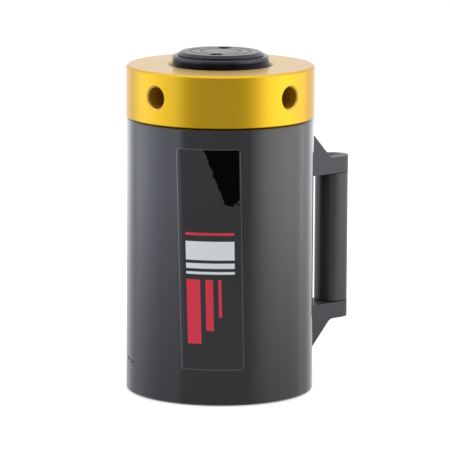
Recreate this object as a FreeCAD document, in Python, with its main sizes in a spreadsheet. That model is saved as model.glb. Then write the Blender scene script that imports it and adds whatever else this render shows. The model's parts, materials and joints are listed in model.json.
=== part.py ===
import FreeCAD, Part
import math
import os
import Sketcher

# A single acting hydraulic cylinder with a mechanical lock nut. The plunger's axis is Z,
# z = 0 is the underside of the base plate, and +X points to the carrying handle.

doc = FreeCAD.newDocument("LockNutCylinder")

# Driving dimensions in millimetres and degrees

driving = [
    ("bodyEdge", 1, "chamfer round the body's foot and top"),
    ("footStep", 0.5, "base plate stands proud of the body's rim"),
    ("boreDia", 95, "bore that the piston runs in"),
    ("bodyWall", 17.5, "wall of the body round the bore"),
    ("floorThick", 42, "rim to the floor of the bore"),
    ("mouthStep", 4.7, "threaded mouth is wider than the bore, each side"),
    ("portTurn", 45, "angle of the oil port from the handle"),
    ("portHeight", 24, "height of the oil port"),
    ("portDia", 17.1, "oil port thread"),
    ("portDepth", 16, "depth of the oil port thread"),
    ("passageDia", 6, "oil passage inwards from the port"),
    ("riserDia", 5, "oil passage up to the bore"),
    ("riserInset", 7.5, "upright passage inside the bore's wall"),
    ("runGap", 0.3, "gap between faces that move past each other"),
    ("seatGap", 0.05, "gap under a piece that is bolted on"),
    ("threadGap", 0.1, "radial gap of a screwed joint"),
    ("letInGap", 0.15, "radial gap of a piece let into a recess"),
    ("guideGap", 0.08, "radial running gap of the guide bush"),
    ("lipGap", 0.2, "radial gap of seals and guide band"),
    ("cutOver", 1, "cuts go on past the faces they open"),
    ("footRim", 17, "body's rim round the base plate"),
    ("basePlateThick", 8, "thickness of the base plate"),
    ("flatScrewDia", 6, "countersunk screws"),
    ("flatHeadDia", 12, "head of a countersunk screw"),
    ("flatHeadSink", 0.3, "head lies below its face"),
    ("flatKey", 4, "hexagon key of a countersunk screw"),
    ("flatKeyDepth", 2.4, "depth of that key socket"),
    ("baseScrewLength", 20, "base plate screws"),
    ("baseScrewInset", 12, "base plate screws from the plate's edge"),
    ("baseScrewCount", 4, "number of base plate screws"),
    ("glandHeight", 33.3, "height of the gland ring"),
    ("glandSink", 0.3, "gland ring lies below the body's top"),
    ("bushingWall", 2.5, "plunger to the outside of the guide bush"),
    ("bushingLip", 4, "lip of the gland ring below the bush"),
    ("wiperWall", 5.2, "plunger to the outside of the wiper"),
    ("wiperSeat", 7, "depth of the wiper's seat"),
    ("wiperLip", 3, "height of the wiper's lip"),
    ("wiperUnder", 1.5, "wiper is cut back under its lip"),
    ("pinHoleDia", 6, "pin spanner holes of the gland ring"),
    ("pinHoleDepth", 6, "depth of the pin spanner holes"),
    ("pinHoleCount", 4, "number of pin spanner holes"),
    ("pistonStep", 12.5, "piston stands out of the plunger, each side"),
    ("plungerProud", 6.95, "plunger stands above the lock nut"),
    ("pistonGap", 0.4, "radial gap of the piston head"),
    ("pistonHeight", 40, "height of the piston head"),
    ("pistonEdge", 1.5, "chamfer of the piston head"),
    ("stroke", 75, "travel of the plunger"),
    ("restGap", 0.3, "gap at each end of the travel"),
    ("plungerWall", 12, "wall of the hollow plunger"),
    ("headCore", 6.2, "metal between the saddle's pocket and the upper anchor"),
    ("neckStep", 1.7, "depth of the plain neck above the thread"),
    ("neckHeight", 4.6, "height of the neck with its crown"),
    ("crownEdge", 0.8, "chamfer round the crown"),
    ("landHeight", 0.65, "land under the saddle above the crown"),
    ("landInset", 0.9, "that land inside the saddle's rim"),
    ("threadSpare", 6.6, "thread beyond the nut at full travel"),
    ("reliefWide", 4, "relief groove below the thread"),
    ("reliefDeep", 2, "depth of the relief groove"),
    ("sealFoot", 12, "piston seal above the piston's foot"),
    ("sealHeight", 8, "height of the piston seal"),
    ("sealDeep", 7, "radial depth of the seal groove"),
    ("backupHeight", 2.5, "height of the backup ring"),
    ("bandFoot", 27, "guide band above the piston's foot"),
    ("bandHeight", 8, "height of the guide band"),
    ("bandDeep", 2.5, "radial depth of the band's groove"),
    ("wireDia", 4, "wire of the return spring"),
    ("coilInset", 5.7, "middle of the spring's wire inside the hollow"),
    ("springTurns", 14, "turns of the return spring"),
    ("anchorShankDia", 16, "screwed shank of a spring anchor"),
    ("anchorShankLength", 14, "length of that shank"),
    ("anchorFlangeThick", 4, "flange of a spring anchor"),
    ("anchorPlugLength", 16, "length of the plug that the end turns sit on"),
    ("anchorKey", 8, "hexagon key of a spring anchor"),
    ("anchorKeyDepth", 8, "depth of that key socket"),
    ("saddleInset", 3.25, "saddle's rim inside the neck of the plunger"),
    ("saddleRim", 2.15, "height of the saddle's rim"),
    ("saddleEdge", 2.85, "width of the chamfer round the load face"),
    ("saddleDrop", 1.75, "height of that chamfer"),
    ("stubInset", 4.05, "saddle's rim to the stub let into the plunger"),
    ("saddleStubLength", 10, "length of the stub"),
    ("outerGrooveInset", 6.2, "outer ring groove from the load face's edge"),
    ("innerGrooveInset", 13.2, "inner ring groove from the load face's edge"),
    ("grooveWide", 2, "width of a ring groove"),
    ("grooveDeep", 0.9, "depth of a ring groove"),
    ("spannerDia", 9.3, "two spanner holes of the saddle"),
    ("spannerDepth", 8, "depth of the spanner holes"),
    ("spannerInset", 7.95, "spanner holes from the load face's edge"),
    ("spannerTurn", 39.4, "angle of the spanner holes from the handle"),
    ("spannerCount", 2, "number of spanner holes"),
    ("ringWire", 2.2, "wire of the saddle's holding ring"),
    ("ringGap", 0.1, "gap round the holding ring"),
    ("nutOver", 0.3, "lock nut stands out past the body"),
    ("nutHeight", 36.4, "height of the lock nut"),
    ("nutTopEdge", 1.5, "chamfer of the nut's top edge"),
    ("nutFootEdge", 0.8, "chamfer of the nut's lower edge"),
    ("nutMouthEdge", 1.2, "chamfer of the nut's bore"),
    ("tommyDia", 15, "tommy-bar holes"),
    ("tommyEdge", 1.2, "chamfer of a tommy-bar hole"),
    ("tommyDepth", 19, "depth of a tommy-bar hole"),
    ("tommyRise", 18.9, "tommy-bar holes above the nut's foot"),
    ("tommyTurn", 5, "angle of the first hole from the handle"),
    ("tommyCount", 4, "number of tommy-bar holes"),
    ("handleRaise", 0.6, "handle's middle above the body's middle"),
    ("bracketWidth", 23.7, "width of a bracket"),
    ("armThick", 11.45, "thickness of a bracket's arm"),
    ("gussetReach", 30.4, "gusset along the arm"),
    ("gussetRise", 31.95, "gusset along the body"),
    ("gussetFillet", 6, "fillet where the gusset meets the arm"),
    ("gripStand", 41.9, "body to the grip's axis"),
    ("gripDia", 23.5, "grip bar"),
    ("gripLength", 93.3, "grip bar between the arms"),
    ("gripEdge", 0.6, "chamfer of the grip bar"),
    ("gripScrewLength", 26, "screws through the arms into the grip"),
    ("capScrewDia", 8, "cap screws that hold the brackets"),
    ("capHeadDia", 13, "head of a cap screw"),
    ("capHeadHeight", 8, "height of that head"),
    ("capTipWall", 3.8, "metal left between a cap screw and the mouth"),
    ("capKey", 6, "hexagon key of a cap screw"),
    ("capKeyDepth", 4, "depth of that key socket"),
    ("capFloor", 8, "metal left under the head"),
    ("capDrop", 22, "cap screw from the gusset's tip"),
    ("holeGap", 0.25, "radial gap of a screw in a clearance hole"),
    ("tapSpare", 1.5, "tapped hole goes on past its screw"),
    ("couplerHex", 27, "hexagon of the coupler across flats"),
    ("couplerHexThick", 12, "thickness of the hexagon"),
    ("couplerNeck", 3, "length of the neck beyond the hexagon"),
    ("neckWall", 2, "wall of the neck"),
    ("noseWall", 3.9, "wall of the threaded nose"),
    ("couplerNose", 20, "length of the threaded nose"),
    ("couplerEdge", 1, "chamfer of the nose"),
    ("socketDia", 19.2, "socket that the hose half plugs into"),
    ("socketDepth", 16, "depth of the socket"),
    ("seatDia", 12, "valve seat"),
    ("seatThick", 1.5, "thickness of the seat's lip"),
    ("chamberGap", 0.8, "valve head to the chamber's wall"),
    ("chamberLength", 13, "length of the chamber"),
    ("valveLap", 1.7, "valve head laps over its seat"),
    ("valveHead", 4, "thickness of the valve's head"),
    ("valveNoseGap", 2, "valve nose to the seat's edge"),
    ("valveNose", 2, "nose stands out of the seat"),
    ("valveStemDia", 4.4, "stem in the valve's spring"),
    ("valveStem", 3.6, "length of that stem"),
    ("valveWire", 1.1, "wire of the valve's spring"),
    ("valveCoilDia", 8.6, "middle of that spring's coil"),
    ("valveTurns", 3, "turns of that spring"),
    ("socketRingWire", 2.2, "wire of the socket's seal ring"),
    ("socketRingBack", 6, "seal ring from the nose's end"),
]

# Heights and reaches that follow from them

worked = [
    ("floorTop", "Dim.footStep + Dim.floorThick"),
    ("pistonFoot", "floorTop + Dim.restGap"),
    ("pistonTop", "pistonFoot + Dim.pistonHeight"),
    ("glandSeat", "pistonTop + Dim.stroke + Dim.restGap"),
    ("glandTop", "glandSeat + Dim.glandHeight"),
    ("bodyTop", "glandTop + Dim.glandSink"),
    ("nutFoot", "bodyTop + Dim.runGap"),
    ("nutTop", "nutFoot + Dim.nutHeight"),
    ("plungerTop", "nutTop + Dim.plungerProud"),
    ("saddleTop", "plungerTop + Dim.saddleRim"),
    ("stubFoot", "plungerTop - Dim.saddleStubLength"),
    ("pocketFloor", "stubFoot - Dim.restGap"),
    ("anchorTop", "pocketFloor - Dim.headCore"),
    ("cavityTop", "anchorTop - Dim.tapSpare - Dim.anchorShankLength"),
    ("threadTop", "plungerTop - Dim.neckHeight"),
    ("crownTop", "plungerTop - Dim.landHeight"),
    ("threadFoot", "threadTop - Dim.nutHeight - Dim.stroke - Dim.threadSpare"),
    ("ringHeight", "plungerTop - Dim.saddleStubLength / 2"),
    ("springFoot", "floorTop + Dim.anchorFlangeThick + Dim.seatGap"),
    ("springTop", "cavityTop - Dim.anchorFlangeThick - Dim.seatGap"),
    ("boreRadius", "Dim.boreDia / 2"),
    ("bodyRadius", "boreRadius + Dim.bodyWall"),
    ("mouthRadius", "boreRadius + Dim.mouthStep"),
    ("riserReach", "boreRadius - Dim.riserInset"),
    ("plateRadius", "bodyRadius - Dim.footRim"),
    ("baseScrewReach", "plateRadius - Dim.baseScrewInset"),
    ("pistonRadius", "boreRadius - Dim.pistonGap"),
    ("lipRadius", "boreRadius - Dim.lipGap"),
    ("plungerRadius", "boreRadius - Dim.pistonStep"),
    ("hollowRadius", "plungerRadius - Dim.plungerWall"),
    ("neckRadius", "plungerRadius - Dim.neckStep"),
    ("saddleRadius", "neckRadius - Dim.saddleInset"),
    ("landRadius", "saddleRadius - Dim.landInset"),
    ("stubRadius", "saddleRadius - Dim.stubInset"),
    ("faceRadius", "saddleRadius - Dim.saddleEdge"),
    ("spannerReach", "faceRadius - Dim.spannerInset"),
    ("nutRadius", "bodyRadius + Dim.nutOver"),
    ("bushRadius", "plungerRadius + Dim.guideGap"),
    ("bushOutside", "plungerRadius + Dim.bushingWall"),
    ("wiperOutside", "plungerRadius + Dim.wiperWall"),
    ("pinReach", "(wiperOutside + mouthRadius) / 2"),
    ("nutBore", "plungerRadius + Dim.runGap"),
    ("nutMouth", "nutBore + Dim.nutMouthEdge"),
    ("coilRadius", "hollowRadius - Dim.coilInset"),
    ("plugRadius", "coilRadius - Dim.wireDia / 2 - Dim.lipGap"),
    ("flangeRadius", "coilRadius + Dim.wireDia / 2 + Dim.lipGap"),
    ("flatHeadHeight", "(Dim.flatHeadDia - Dim.flatScrewDia) / 2"),
    ("handleMiddle", "(Dim.footStep + bodyTop) / 2 + Dim.handleRaise"),
    ("gripFoot", "handleMiddle - Dim.gripLength / 2"),
    ("gripTop", "handleMiddle + Dim.gripLength / 2"),
    ("armFootLow", "gripFoot - Dim.armThick"),
    ("armTopHigh", "gripTop + Dim.armThick"),
    ("handleFoot", "armFootLow - Dim.gussetRise"),
    ("handleTop", "armTopHigh + Dim.gussetRise"),
    ("gripReach", "bodyRadius + Dim.gripStand"),
    ("gripTap", "Dim.gripScrewLength - Dim.armThick + Dim.tapSpare"),
    ("knee", "bodyRadius + Dim.gussetReach"),
    ("armEnd", "gripReach + Dim.bracketWidth / 2"),
    ("capSeat", "bodyRadius + Dim.capFloor"),
    ("capTipReach", "mouthRadius + Dim.capTipWall"),
    ("capLow", "handleFoot + Dim.capDrop"),
    ("capHigh", "handleTop - Dim.capDrop"),
    ("portFloor", "bodyRadius - Dim.portDepth"),
    ("stemBack", "portFloor + Dim.restGap"),
    ("hexBack", "bodyRadius + Dim.seatGap"),
    ("hexFront", "hexBack + Dim.couplerHexThick"),
    ("neckFront", "hexFront + Dim.couplerNeck"),
    ("noseFront", "neckFront + Dim.couplerNose"),
    ("socketFloor", "noseFront - Dim.socketDepth"),
    ("seatBack", "socketFloor - Dim.seatThick"),
    ("chamberBack", "seatBack - Dim.chamberLength"),
    ("valveFace", "seatBack - Dim.seatGap"),
    ("valveBack", "valveFace - Dim.valveHead"),
    ("socketRing", "noseFront - Dim.socketRingBack"),
    ("seatRadius", "Dim.seatDia / 2"),
    ("valveRadius", "seatRadius + Dim.valveLap"),
    ("chamberRadius", "valveRadius + Dim.chamberGap"),
    ("couplerNeckRadius", "chamberRadius + Dim.neckWall"),
    ("socketRadius", "Dim.socketDia / 2"),
    ("noseRadius", "socketRadius + Dim.noseWall"),
]


def fillSheet(name, rows):
    sheet = doc.addObject("Spreadsheet::Sheet", name)
    for row, (alias, content, note) in enumerate(rows, start=1):
        sheet.set(f"A{row}", note)
        sheet.set(f"B{row}", content)
        sheet.setAlias(f"B{row}", alias)
    doc.recompute()
    return sheet


dim = fillSheet("Dim", [(alias, str(size), note) for alias, size, note in driving])
place = fillSheet("Place", [(alias, "=" + formula, formula) for alias, formula in worked])


def value(expression):
    return float(place.evalExpression(expression))


# Ways to make a piece

pieces = []
nearEnough = 0.0001


def newPiece(label):
    body = doc.addObject("PartDesign::Body", label)
    body.Label = label
    pieces.append(body)
    return body


def originOf(body, role):
    return next(feature for feature in body.Origin.OriginFeatures if feature.Role == role)


def attach(feature, body, plane, shift=("0", "0", "0"), turn="0"):
    # shift is along the plane's own axes; turn swings an upright plane about Z
    feature.AttachmentSupport = [(originOf(body, plane), "")]
    feature.MapMode = "FlatFace"
    swing = FreeCAD.Rotation(FreeCAD.Vector(0, 1, 0), 1)
    feature.AttachmentOffset = FreeCAD.Placement(FreeCAD.Vector(), swing)
    for axis, distance in zip("xyz", shift):
        feature.setExpression(f".AttachmentOffset.Base.{axis}", distance)
    feature.setExpression(".AttachmentOffset.Rotation.Angle", turn)


def outline(body, corners, plane="XZ_Plane", shift=("0", "0", "0"), turn="0"):
    # a closed outline whose corners are pairs of expressions
    sketch = body.newObject("Sketcher::SketchObject", body.Label + "Outline")
    attach(sketch, body, plane, shift, turn)
    spots = [FreeCAD.Vector(value(across), value(up), 0) for across, up in corners]
    for index, spot in enumerate(spots):
        sketch.addGeometry(Part.LineSegment(spot, spots[(index + 1) % len(spots)]), False)
    for index in range(len(spots)):
        following = (index + 1) % len(spots)
        sketch.addConstraint(Sketcher.Constraint("Coincident", index, 2, following, 1))
    for index, (across, up) in enumerate(corners):
        placeCorner(sketch, index, "DistanceX", across, spots[index].x, -2)
        placeCorner(sketch, index, "DistanceY", up, spots[index].y, -1)
    return sketch


def placeCorner(sketch, index, kind, expression, distance, axis):
    if expression == "0":
        sketch.addConstraint(Sketcher.Constraint("PointOnObject", index, 1, axis))
        return
    number = sketch.addConstraint(Sketcher.Constraint(kind, -1, 1, index, 1, distance))
    sketch.setExpression(f"Constraints[{number}]", expression)


def turned(body, corners, axis="V_Axis", cut=False, shift=("0", "0", "0"), turn="0"):
    # a solid, or a cut, turned from an outline of (reach, height) about one of its axes
    sketch = outline(body, corners, "XZ_Plane", shift, turn)
    kind = "Groove" if cut else "Revolution"
    feature = body.newObject("PartDesign::" + kind, body.Label + kind)
    feature.Profile = sketch
    feature.ReferenceAxis = (sketch, [axis])
    feature.Angle = 360
    body.Tip = feature
    return feature


def primitive(body, kind, plane, shift, turn="0", **measures):
    feature = body.newObject("PartDesign::" + kind, body.Label + kind)
    attach(feature, body, plane, shift, turn)
    for name, expression in measures.items():
        feature.setExpression(name, expression)
    body.Tip = feature
    return feature


def uprightHole(body, reach, turn, foot, top, radius):
    shift = (f"{reach} * cos({turn})", f"{reach} * sin({turn})", foot)
    height = f"{top} - ({foot})"
    return primitive(body, "SubtractiveCylinder", "XY_Plane", shift, Radius=radius, Height=height)


def radialShift(turn, reach, height):
    return (f"({reach}) * sin({turn})", height, f"({reach}) * cos({turn})")


def radialHole(body, turn, height, inner, outer, radius):
    shift = radialShift(turn, inner, height)
    length = f"{outer} - ({inner})"
    return primitive(body, "SubtractiveCylinder", "YZ_Plane", shift, turn, Radius=radius, Height=length)


def hexSocket(body, plane, shift, turn, key, depth):
    feature = primitive(body, "SubtractivePrism", plane, shift, turn, Height=depth)
    feature.Polygon = 6
    feature.setExpression("Circumradius", f"{key} / sqrt(3)")
    return feature


def aroundZ(body, feature, count):
    # each feature has a pattern of its own
    if count == "1":
        return
    pattern = body.newObject("PartDesign::PolarPattern", body.Label + "Around")
    pattern.Originals = [feature]
    pattern.Axis = (originOf(body, "Z_Axis"), [""])
    pattern.Angle = 360
    pattern.setExpression("Occurrences", count)
    body.Tip = pattern


def flatScrew(body, shift, length, upward, count="1"):
    # a countersunk screw turned about an upright axis; its head faces up or down
    way = "" if upward else "-1 * "
    sunk = "Dim.flatHeadSink"
    screw = turned(body, [
        ("0", f"{way}(-{sunk})"),
        ("Dim.flatHeadDia / 2 - Dim.flatHeadSink", f"{way}(-{sunk})"),
        ("Dim.flatScrewDia / 2", f"{way}(-Place.flatHeadHeight)"),
        ("Dim.flatScrewDia / 2", f"{way}(-{length} + Dim.bodyEdge)"),
        ("Dim.flatScrewDia / 2 - Dim.bodyEdge", f"{way}(-{length})"),
        ("0", f"{way}(-{length})"),
    ], shift=shift)
    aroundZ(body, screw, count)
    reach, height, _ = shift
    socketFoot = f"{height} - {sunk} - Dim.flatKeyDepth" if upward else f"{height} + {sunk}"
    socket = hexSocket(body, "XY_Plane", (reach, "0", socketFoot), "0", "Dim.flatKey", "Dim.flatKeyDepth")
    aroundZ(body, socket, count)


def flatSeat(body, shift, depth, upward):
    # the countersunk hole that such a screw sits in
    way = "" if upward else "-1 * "
    corners = [
        ("0", f"{way}Dim.bodyEdge"),
        ("Dim.flatHeadDia / 2 + Dim.holeGap", f"{way}Dim.bodyEdge"),
        ("Dim.flatHeadDia / 2 + Dim.holeGap", "0"),
        ("Dim.flatScrewDia / 2 + Dim.holeGap", f"{way}(-Place.flatHeadHeight)"),
        ("Dim.flatScrewDia / 2 + Dim.holeGap", f"{way}(-{depth} - Dim.bodyEdge)"),
        ("0", f"{way}(-{depth} - Dim.bodyEdge)"),
    ]
    return turned(body, corners, cut=True, shift=shift)


# The body: a bore with a floor, a threaded mouth and a recess for the base plate

def makeBody():
    body = newPiece("cylinder_body")
    recess = "Place.plateRadius + Dim.letInGap"
    turned(body, [
        ("0", "Dim.basePlateThick"),
        (recess, "Dim.basePlateThick"),
        (recess, "Dim.footStep"),
        ("Place.bodyRadius - Dim.bodyEdge", "Dim.footStep"),
        ("Place.bodyRadius", "Dim.footStep + Dim.bodyEdge"),
        ("Place.bodyRadius", "Place.bodyTop - Dim.bodyEdge"),
        ("Place.bodyRadius - Dim.bodyEdge", "Place.bodyTop"),
        ("Place.mouthRadius", "Place.bodyTop"),
        ("Place.mouthRadius", "Place.glandSeat"),
        ("Place.boreRadius", "Place.glandSeat"),
        ("Place.boreRadius", "Place.floorTop"),
        ("0", "Place.floorTop"),
    ])
    screwEnd = "Dim.baseScrewLength + Dim.tapSpare"
    hole = uprightHole(body, "Place.baseScrewReach", "0", "0", screwEnd,
                       "Dim.flatScrewDia / 2 + Dim.threadGap")
    aroundZ(body, hole, "Dim.baseScrewCount")
    uprightHole(body, "0", "0", "Place.floorTop - Dim.anchorShankLength - Dim.tapSpare",
                "Place.floorTop + Dim.cutOver", "Dim.anchorShankDia / 2 + Dim.threadGap")
    radialHole(body, "Dim.portTurn", "Dim.portHeight", "Place.portFloor", "Place.bodyRadius + Dim.cutOver",
               "Dim.portDia / 2")
    radialHole(body, "Dim.portTurn", "Dim.portHeight", "Place.riserReach - Dim.passageDia",
               "Place.bodyRadius", "Dim.passageDia / 2")
    uprightHole(body, "Place.riserReach", "Dim.portTurn", "Dim.portHeight", "Place.floorTop + Dim.cutOver",
                "Dim.riserDia / 2")
    for height in ("Place.capLow", "Place.capHigh"):
        radialHole(body, "0", height, "Place.capTipReach - Dim.tapSpare", "Place.bodyRadius + Dim.cutOver",
                   "Dim.capScrewDia / 2 + Dim.threadGap")


# The base plate takes the load off the soft metal of the body's foot

def makeBasePlate():
    body = newPiece("base_plate")
    edge = "Place.plateRadius - Dim.footStep"
    turned(body, [
        ("0", "0"),
        (edge, "0"),
        ("Place.plateRadius", "Dim.footStep"),
        ("Place.plateRadius", "Dim.basePlateThick - Dim.seatGap"),
        ("0", "Dim.basePlateThick - Dim.seatGap"),
    ])
    seat = flatSeat(body, ("Place.baseScrewReach", "0", "0"), "Dim.basePlateThick", False)
    aroundZ(body, seat, "Dim.baseScrewCount")

    screws = newPiece("base_plate_screws")
    screws.AllowCompound = True
    flatScrew(screws, ("Place.baseScrewReach", "0", "0"), "Dim.baseScrewLength", False,
              "Dim.baseScrewCount")


# The gland ring stops the piston and carries the guide bush and the wiper

def makeGland():
    body = newPiece("gland_ring")
    outside = "Place.mouthRadius - Dim.threadGap"
    bushSeat = "Place.bushOutside + Dim.seatGap"
    wiperSeat = "Place.wiperOutside + Dim.seatGap"
    wiperFoot = "Place.glandTop - Dim.wiperSeat"
    turned(body, [
        ("Place.nutBore", "Place.glandSeat"),
        (outside, "Place.glandSeat"),
        (outside, "Place.glandTop - Dim.bodyEdge"),
        (outside + " - Dim.bodyEdge", "Place.glandTop"),
        (wiperSeat, "Place.glandTop"),
        (wiperSeat, wiperFoot),
        (bushSeat, wiperFoot),
        (bushSeat, "Place.glandSeat + Dim.bushingLip"),
        ("Place.nutBore", "Place.glandSeat + Dim.bushingLip"),
    ])
    hole = uprightHole(body, "Place.pinReach", "Dim.portTurn", "Place.glandTop - Dim.pinHoleDepth",
                       "Place.glandTop + Dim.cutOver", "Dim.pinHoleDia / 2")
    aroundZ(body, hole, "Dim.pinHoleCount")

    bush = newPiece("gland_bushing")
    bushFoot = "Place.glandSeat + Dim.bushingLip + Dim.seatGap"
    bushTop = wiperFoot + " - Dim.seatGap"
    turned(bush, [
        ("Place.bushRadius", bushFoot),
        ("Place.bushOutside", bushFoot),
        ("Place.bushOutside", bushTop),
        ("Place.bushRadius", bushTop),
    ])

    wiper = newPiece("wiper_seal")
    wiperTop = "Place.glandTop - Dim.seatGap"
    inside = "Place.plungerRadius + Dim.lipGap"
    turned(wiper, [
        (inside + " + Dim.bodyEdge", wiperFoot + " + Dim.seatGap"),
        ("Place.wiperOutside", wiperFoot + " + Dim.seatGap"),
        ("Place.wiperOutside", wiperTop + " - Dim.bodyEdge"),
        ("Place.wiperOutside - Dim.bodyEdge", wiperTop),
        (inside + " + Dim.bodyEdge", wiperTop),
        (inside, wiperTop + " - Dim.bodyEdge"),
        (inside + " + Dim.wiperUnder", wiperTop + " - Dim.wiperLip"),
    ])


# The plunger is one piece with its piston head and is hollow for the return spring

def makePlunger():
    body = newPiece("plunger")
    hollow = "Place.hollowRadius"
    pocket = "Place.stubRadius + Dim.letInGap"
    relief = "Place.plungerRadius - Dim.reliefDeep"
    turned(body, [
        (hollow, "Place.pistonFoot"),
        ("Place.pistonRadius - Dim.pistonEdge", "Place.pistonFoot"),
        ("Place.pistonRadius", "Place.pistonFoot + Dim.pistonEdge"),
        ("Place.pistonRadius", "Place.pistonTop - Dim.pistonEdge"),
        ("Place.pistonRadius - Dim.pistonEdge", "Place.pistonTop"),
        ("Place.plungerRadius", "Place.pistonTop"),
        ("Place.plungerRadius", "Place.threadFoot - Dim.reliefWide - Dim.reliefDeep"),
        (relief, "Place.threadFoot - Dim.reliefWide"),
        (relief, "Place.threadFoot"),
        ("Place.plungerRadius", "Place.threadFoot + Dim.reliefDeep"),
        ("Place.plungerRadius", "Place.threadTop - Dim.neckStep"),
        ("Place.neckRadius", "Place.threadTop"),
        ("Place.neckRadius", "Place.crownTop - Dim.crownEdge"),
        ("Place.neckRadius - Dim.crownEdge", "Place.crownTop"),
        ("Place.landRadius", "Place.crownTop"),
        ("Place.landRadius", "Place.plungerTop"),
        (pocket, "Place.plungerTop"),
        (pocket, "Place.pocketFloor"),
        ("0", "Place.pocketFloor"),
        ("0", "Place.cavityTop"),
        (hollow, "Place.cavityTop"),
    ])
    uprightHole(body, "0", "0", "Place.cavityTop - Dim.cutOver", "Place.anchorTop",
                "Dim.anchorShankDia / 2 + Dim.threadGap")
    sealTop = "Dim.sealFoot + Dim.sealHeight + Dim.backupHeight"
    bandTop = "Dim.bandFoot + Dim.bandHeight"
    for foot, top, deep in (("Dim.sealFoot", sealTop, "Dim.sealDeep"),
                            ("Dim.bandFoot", bandTop, "Dim.bandDeep")):
        turned(body, [
            (f"Place.boreRadius - {deep}", f"Place.pistonFoot + {foot}"),
            ("Place.boreRadius + Dim.pistonEdge", f"Place.pistonFoot + {foot}"),
            ("Place.boreRadius + Dim.pistonEdge", f"Place.pistonFoot + {top}"),
            (f"Place.boreRadius - {deep}", f"Place.pistonFoot + {top}"),
        ], cut=True)


def makePistonRings():
    inside = "Place.boreRadius - Dim.sealDeep + Dim.seatGap"
    foot = "Place.pistonFoot + Dim.sealFoot + Dim.seatGap"
    top = "Place.pistonFoot + Dim.sealFoot + Dim.sealHeight - Dim.seatGap"
    lip = "Dim.sealDeep / 4"
    seal = newPiece("piston_seal")
    turned(seal, [
        (inside, foot),
        (f"{inside} + {lip}", foot),
        ("Place.boreRadius - Dim.sealDeep / 2", f"{foot} + Dim.sealHeight / 2"),
        (f"Place.lipRadius - {lip}", foot),
        ("Place.lipRadius", foot),
        ("Place.lipRadius", top),
        (inside, top),
    ])
    backup = newPiece("piston_backup_ring")
    ringBlock(backup, inside, "Place.lipRadius", "Place.pistonFoot + Dim.sealFoot + Dim.sealHeight",
              "Place.pistonFoot + Dim.sealFoot + Dim.sealHeight + Dim.backupHeight - Dim.seatGap")
    band = newPiece("piston_guide_band")
    ringBlock(band, "Place.boreRadius - Dim.bandDeep + Dim.seatGap", "Place.lipRadius",
              "Place.pistonFoot + Dim.bandFoot + Dim.seatGap",
              "Place.pistonFoot + Dim.bandFoot + Dim.bandHeight - Dim.seatGap")


def ringBlock(body, inside, outside, foot, top):
    turned(body, [(inside, foot), (outside, foot), (outside, top), (inside, top)])


# Each spring anchor is screwed in by its shank and carries the end turns on its plug

def makeAnchor(label, seat, upward):
    body = newPiece(label)
    way = "" if upward else "-1 * "
    shank = "Dim.anchorShankDia / 2"
    flange = "Place.flangeRadius"
    plug = "Place.plugRadius"
    plugEnd = "Dim.anchorFlangeThick + Dim.anchorPlugLength"
    corners = [
        ("0", "-Dim.anchorShankLength"),
        (shank, "-Dim.anchorShankLength"),
        (shank, "0"),
        (flange, "0"),
        (flange, "Dim.anchorFlangeThick"),
        (plug, "Dim.anchorFlangeThick"),
        (plug, f"{plugEnd} - 2 * Dim.bodyEdge"),
        (f"{plug} - 2 * Dim.bodyEdge", plugEnd),
        ("0", plugEnd),
    ]
    turned(body, [(reach, f"{seat} + {way}({height})") for reach, height in corners])
    socketFoot = f"{seat} + {way}({plugEnd})" + (" - Dim.anchorKeyDepth" if upward else "")
    hexSocket(body, "XY_Plane", ("0", "0", socketFoot), "0", "Dim.anchorKey", "Dim.anchorKeyDepth")


def coil(label, wire, radius, turns, foot, top):
    # a wire swept round Z between two heights; its ends clear them by half the wire
    helix = doc.addObject("Part::Helix", label + "Path")
    helix.setExpression("Radius", radius)
    helix.setExpression("Height", f"{top} - ({foot}) - {wire}")
    helix.setExpression("Pitch", f"({top} - ({foot}) - {wire}) / {turns}")
    helix.setExpression(".Placement.Base.z", f"{foot} + {wire} / 2")
    ring = doc.addObject("Part::Circle", label + "Wire")
    ring.setExpression("Radius", f"{wire} / 2")
    ring.Placement = FreeCAD.Placement(FreeCAD.Vector(), FreeCAD.Rotation(FreeCAD.Vector(1, 0, 0), 90))
    ring.setExpression(".Placement.Base.x", radius)
    ring.setExpression(".Placement.Base.z", f"{foot} + {wire} / 2")
    doc.recompute()
    sweep = doc.addObject("Part::Sweep", label)
    sweep.Label = label
    sweep.Sections = [ring]
    sweep.Spine = (helix, [f"Edge{number}" for number, _ in enumerate(helix.Shape.Edges, start=1)])
    sweep.Solid = True
    sweep.Frenet = True
    pieces.append(sweep)
    return sweep


# The saddle's stub sits in the plunger's pocket and a ring holds it there

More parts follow.
